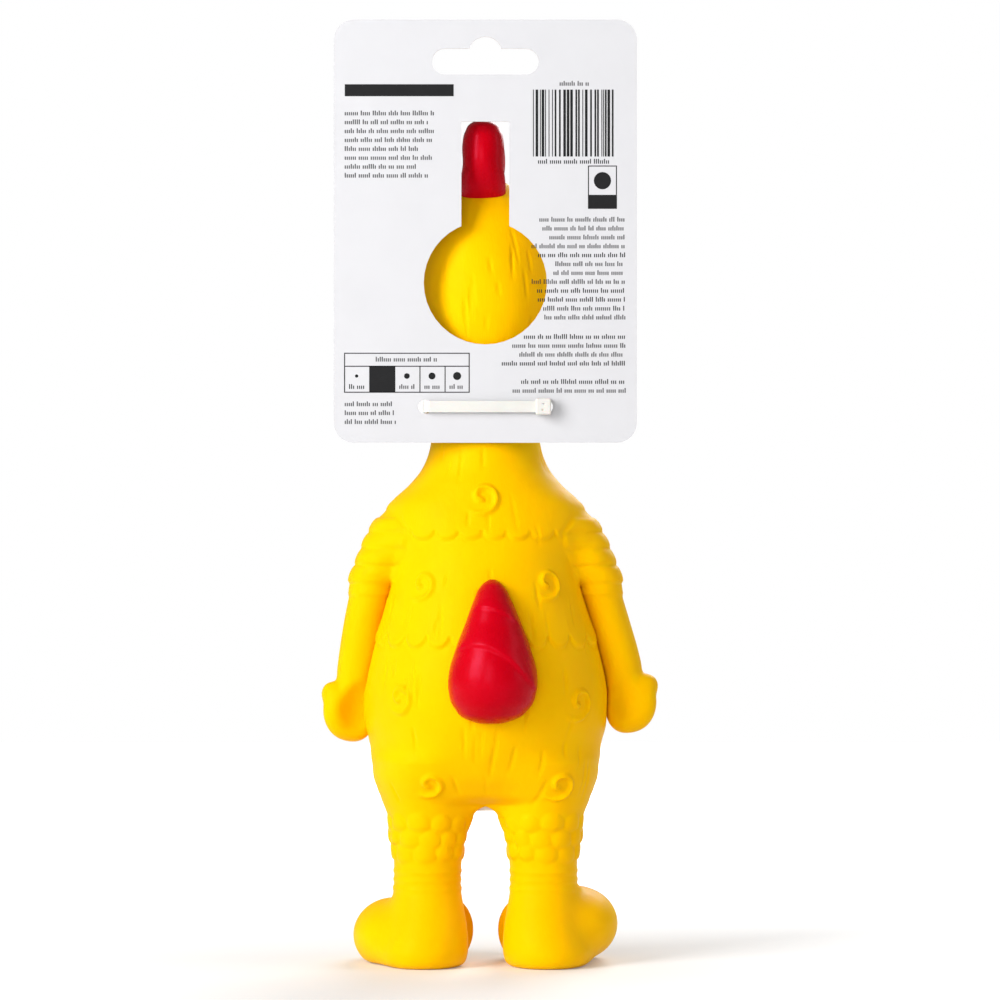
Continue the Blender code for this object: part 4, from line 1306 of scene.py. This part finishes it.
def area_light(name, place, size, power):
    data = bpy.data.lights.new(name, "AREA")
    data.shape = "RECTANGLE"
    data.size, data.size_y = size
    data.energy = power
    light = link(name, data)
    light.location = place
    towards = Vector(LIGHT_TARGET) - Vector(place)
    light.rotation_euler = towards.to_track_quat("-Z", "Y").to_euler()


def build_floor():
    """A pale floor that takes shadows near the toy and runs into the white behind it further out."""
    mesh = bpy.data.meshes.new("floor")
    half = FLOOR_SIZE / 2
    corners = [(-half, -half, 0), (half, -half, 0), (half, half, 0), (-half, half, 0)]
    mesh.from_pydata(corners, [], [(0, 1, 2, 3)])
    finish = Finish("pale_floor", (0.82, 0.82, 0.82), 0.7)
    finish.set("Emission Color", (1.0, 1.0, 1.0, 1.0))
    glow = finish.node("ShaderNodeMath", operation="MULTIPLY")
    finish.link(finish.node("ShaderNodeLightPath").outputs["Is Camera Ray"], glow.inputs[0])
    reach = finish.node("ShaderNodeVectorMath", operation="LENGTH")
    finish.link(finish.place, reach.inputs[0])
    finish.link(finish.ranged(reach.outputs["Value"], *GLOW_REACH, *FLOOR_GLOW), glow.inputs[1])
    finish.link(glow.outputs["Value"], finish.shader.inputs["Emission Strength"])
    link("floor", mesh, finish.material)


def build_world():
    """Even light from all round, and white behind."""
    world = bpy.data.worlds.new("studio")
    bpy.context.scene.world = world
    world.use_nodes = True
    nodes = world.node_tree.nodes
    links = world.node_tree.links
    nodes.clear()
    rays = nodes.new("ShaderNodeLightPath")
    mix = nodes.new("ShaderNodeMixShader")
    output = nodes.new("ShaderNodeOutputWorld")
    links.new(rays.outputs["Is Camera Ray"], mix.inputs[0])
    for socket, strength in ((mix.inputs[1], FILL), (mix.inputs[2], 1.0)):
        background = nodes.new("ShaderNodeBackground")
        background.inputs["Strength"].default_value = strength
        background.inputs["Color"].default_value = (1.0, 1.0, 1.0, 1.0)
        links.new(background.outputs[0], socket)
    links.new(mix.outputs[0], output.inputs["Surface"])


def build_stage():
    build_floor()
    build_world()
    for light in LIGHTS:
        area_light(*light)


def build_camera():
    data = bpy.data.cameras.new("camera")
    camera = link("camera", data)
    data.sensor_width = SENSOR
    data.lens = SENSOR * CAMERA_DISTANCE / (VIEW_WIDTH * MM)
    place = to_frame((CAMERA_X, CARD_Y, CAMERA_Z))
    camera.location = place + np.array([0, CAMERA_DISTANCE, 0])
    camera.rotation_euler = (math.pi / 2, 0, math.pi)
    bpy.context.scene.camera = camera
    bpy.context.scene.view_settings.view_transform = "Standard"


def build():
    build_camera()
    build_stage()
    yellow = yellow_latex()
    red = red_latex()
    white = plastic("white_paint", (0.85, 0.85, 0.83), 0.28)
    black = plastic("black_paint", (0.012, 0.012, 0.014), 0.2)
    ink = plastic("printing_ink", (0.012, 0.012, 0.013), 0.6, Specular_IOR_Level=0.15)
    nylon = plastic("white_nylon", (0.70, 0.69, 0.65), 0.34, Subsurface_Weight=0.2, Subsurface_Scale=MM)
    pale = plastic("squeaker_plastic", (0.82, 0.80, 0.75), 0.38)
    film = plastic("reed_film", (0.72, 0.77, 0.80), 0.25)
    build_skin(yellow)
    build_tail(red)
    build_comb(red)
    build_beak(orange_latex())
    build_eyes(white, black, yellow)
    build_wattles(red)
    build_lock(nylon)
    build_print(ink)
    dress_nodes(
        {
            "hang_card": board(),
            "tie_strap": nylon,
            "squeaker_cup": pale,
            "squeaker_cap": pale,
            "reed_tube": pale,
            "squeaker_reed": film,
        }
    )


build()
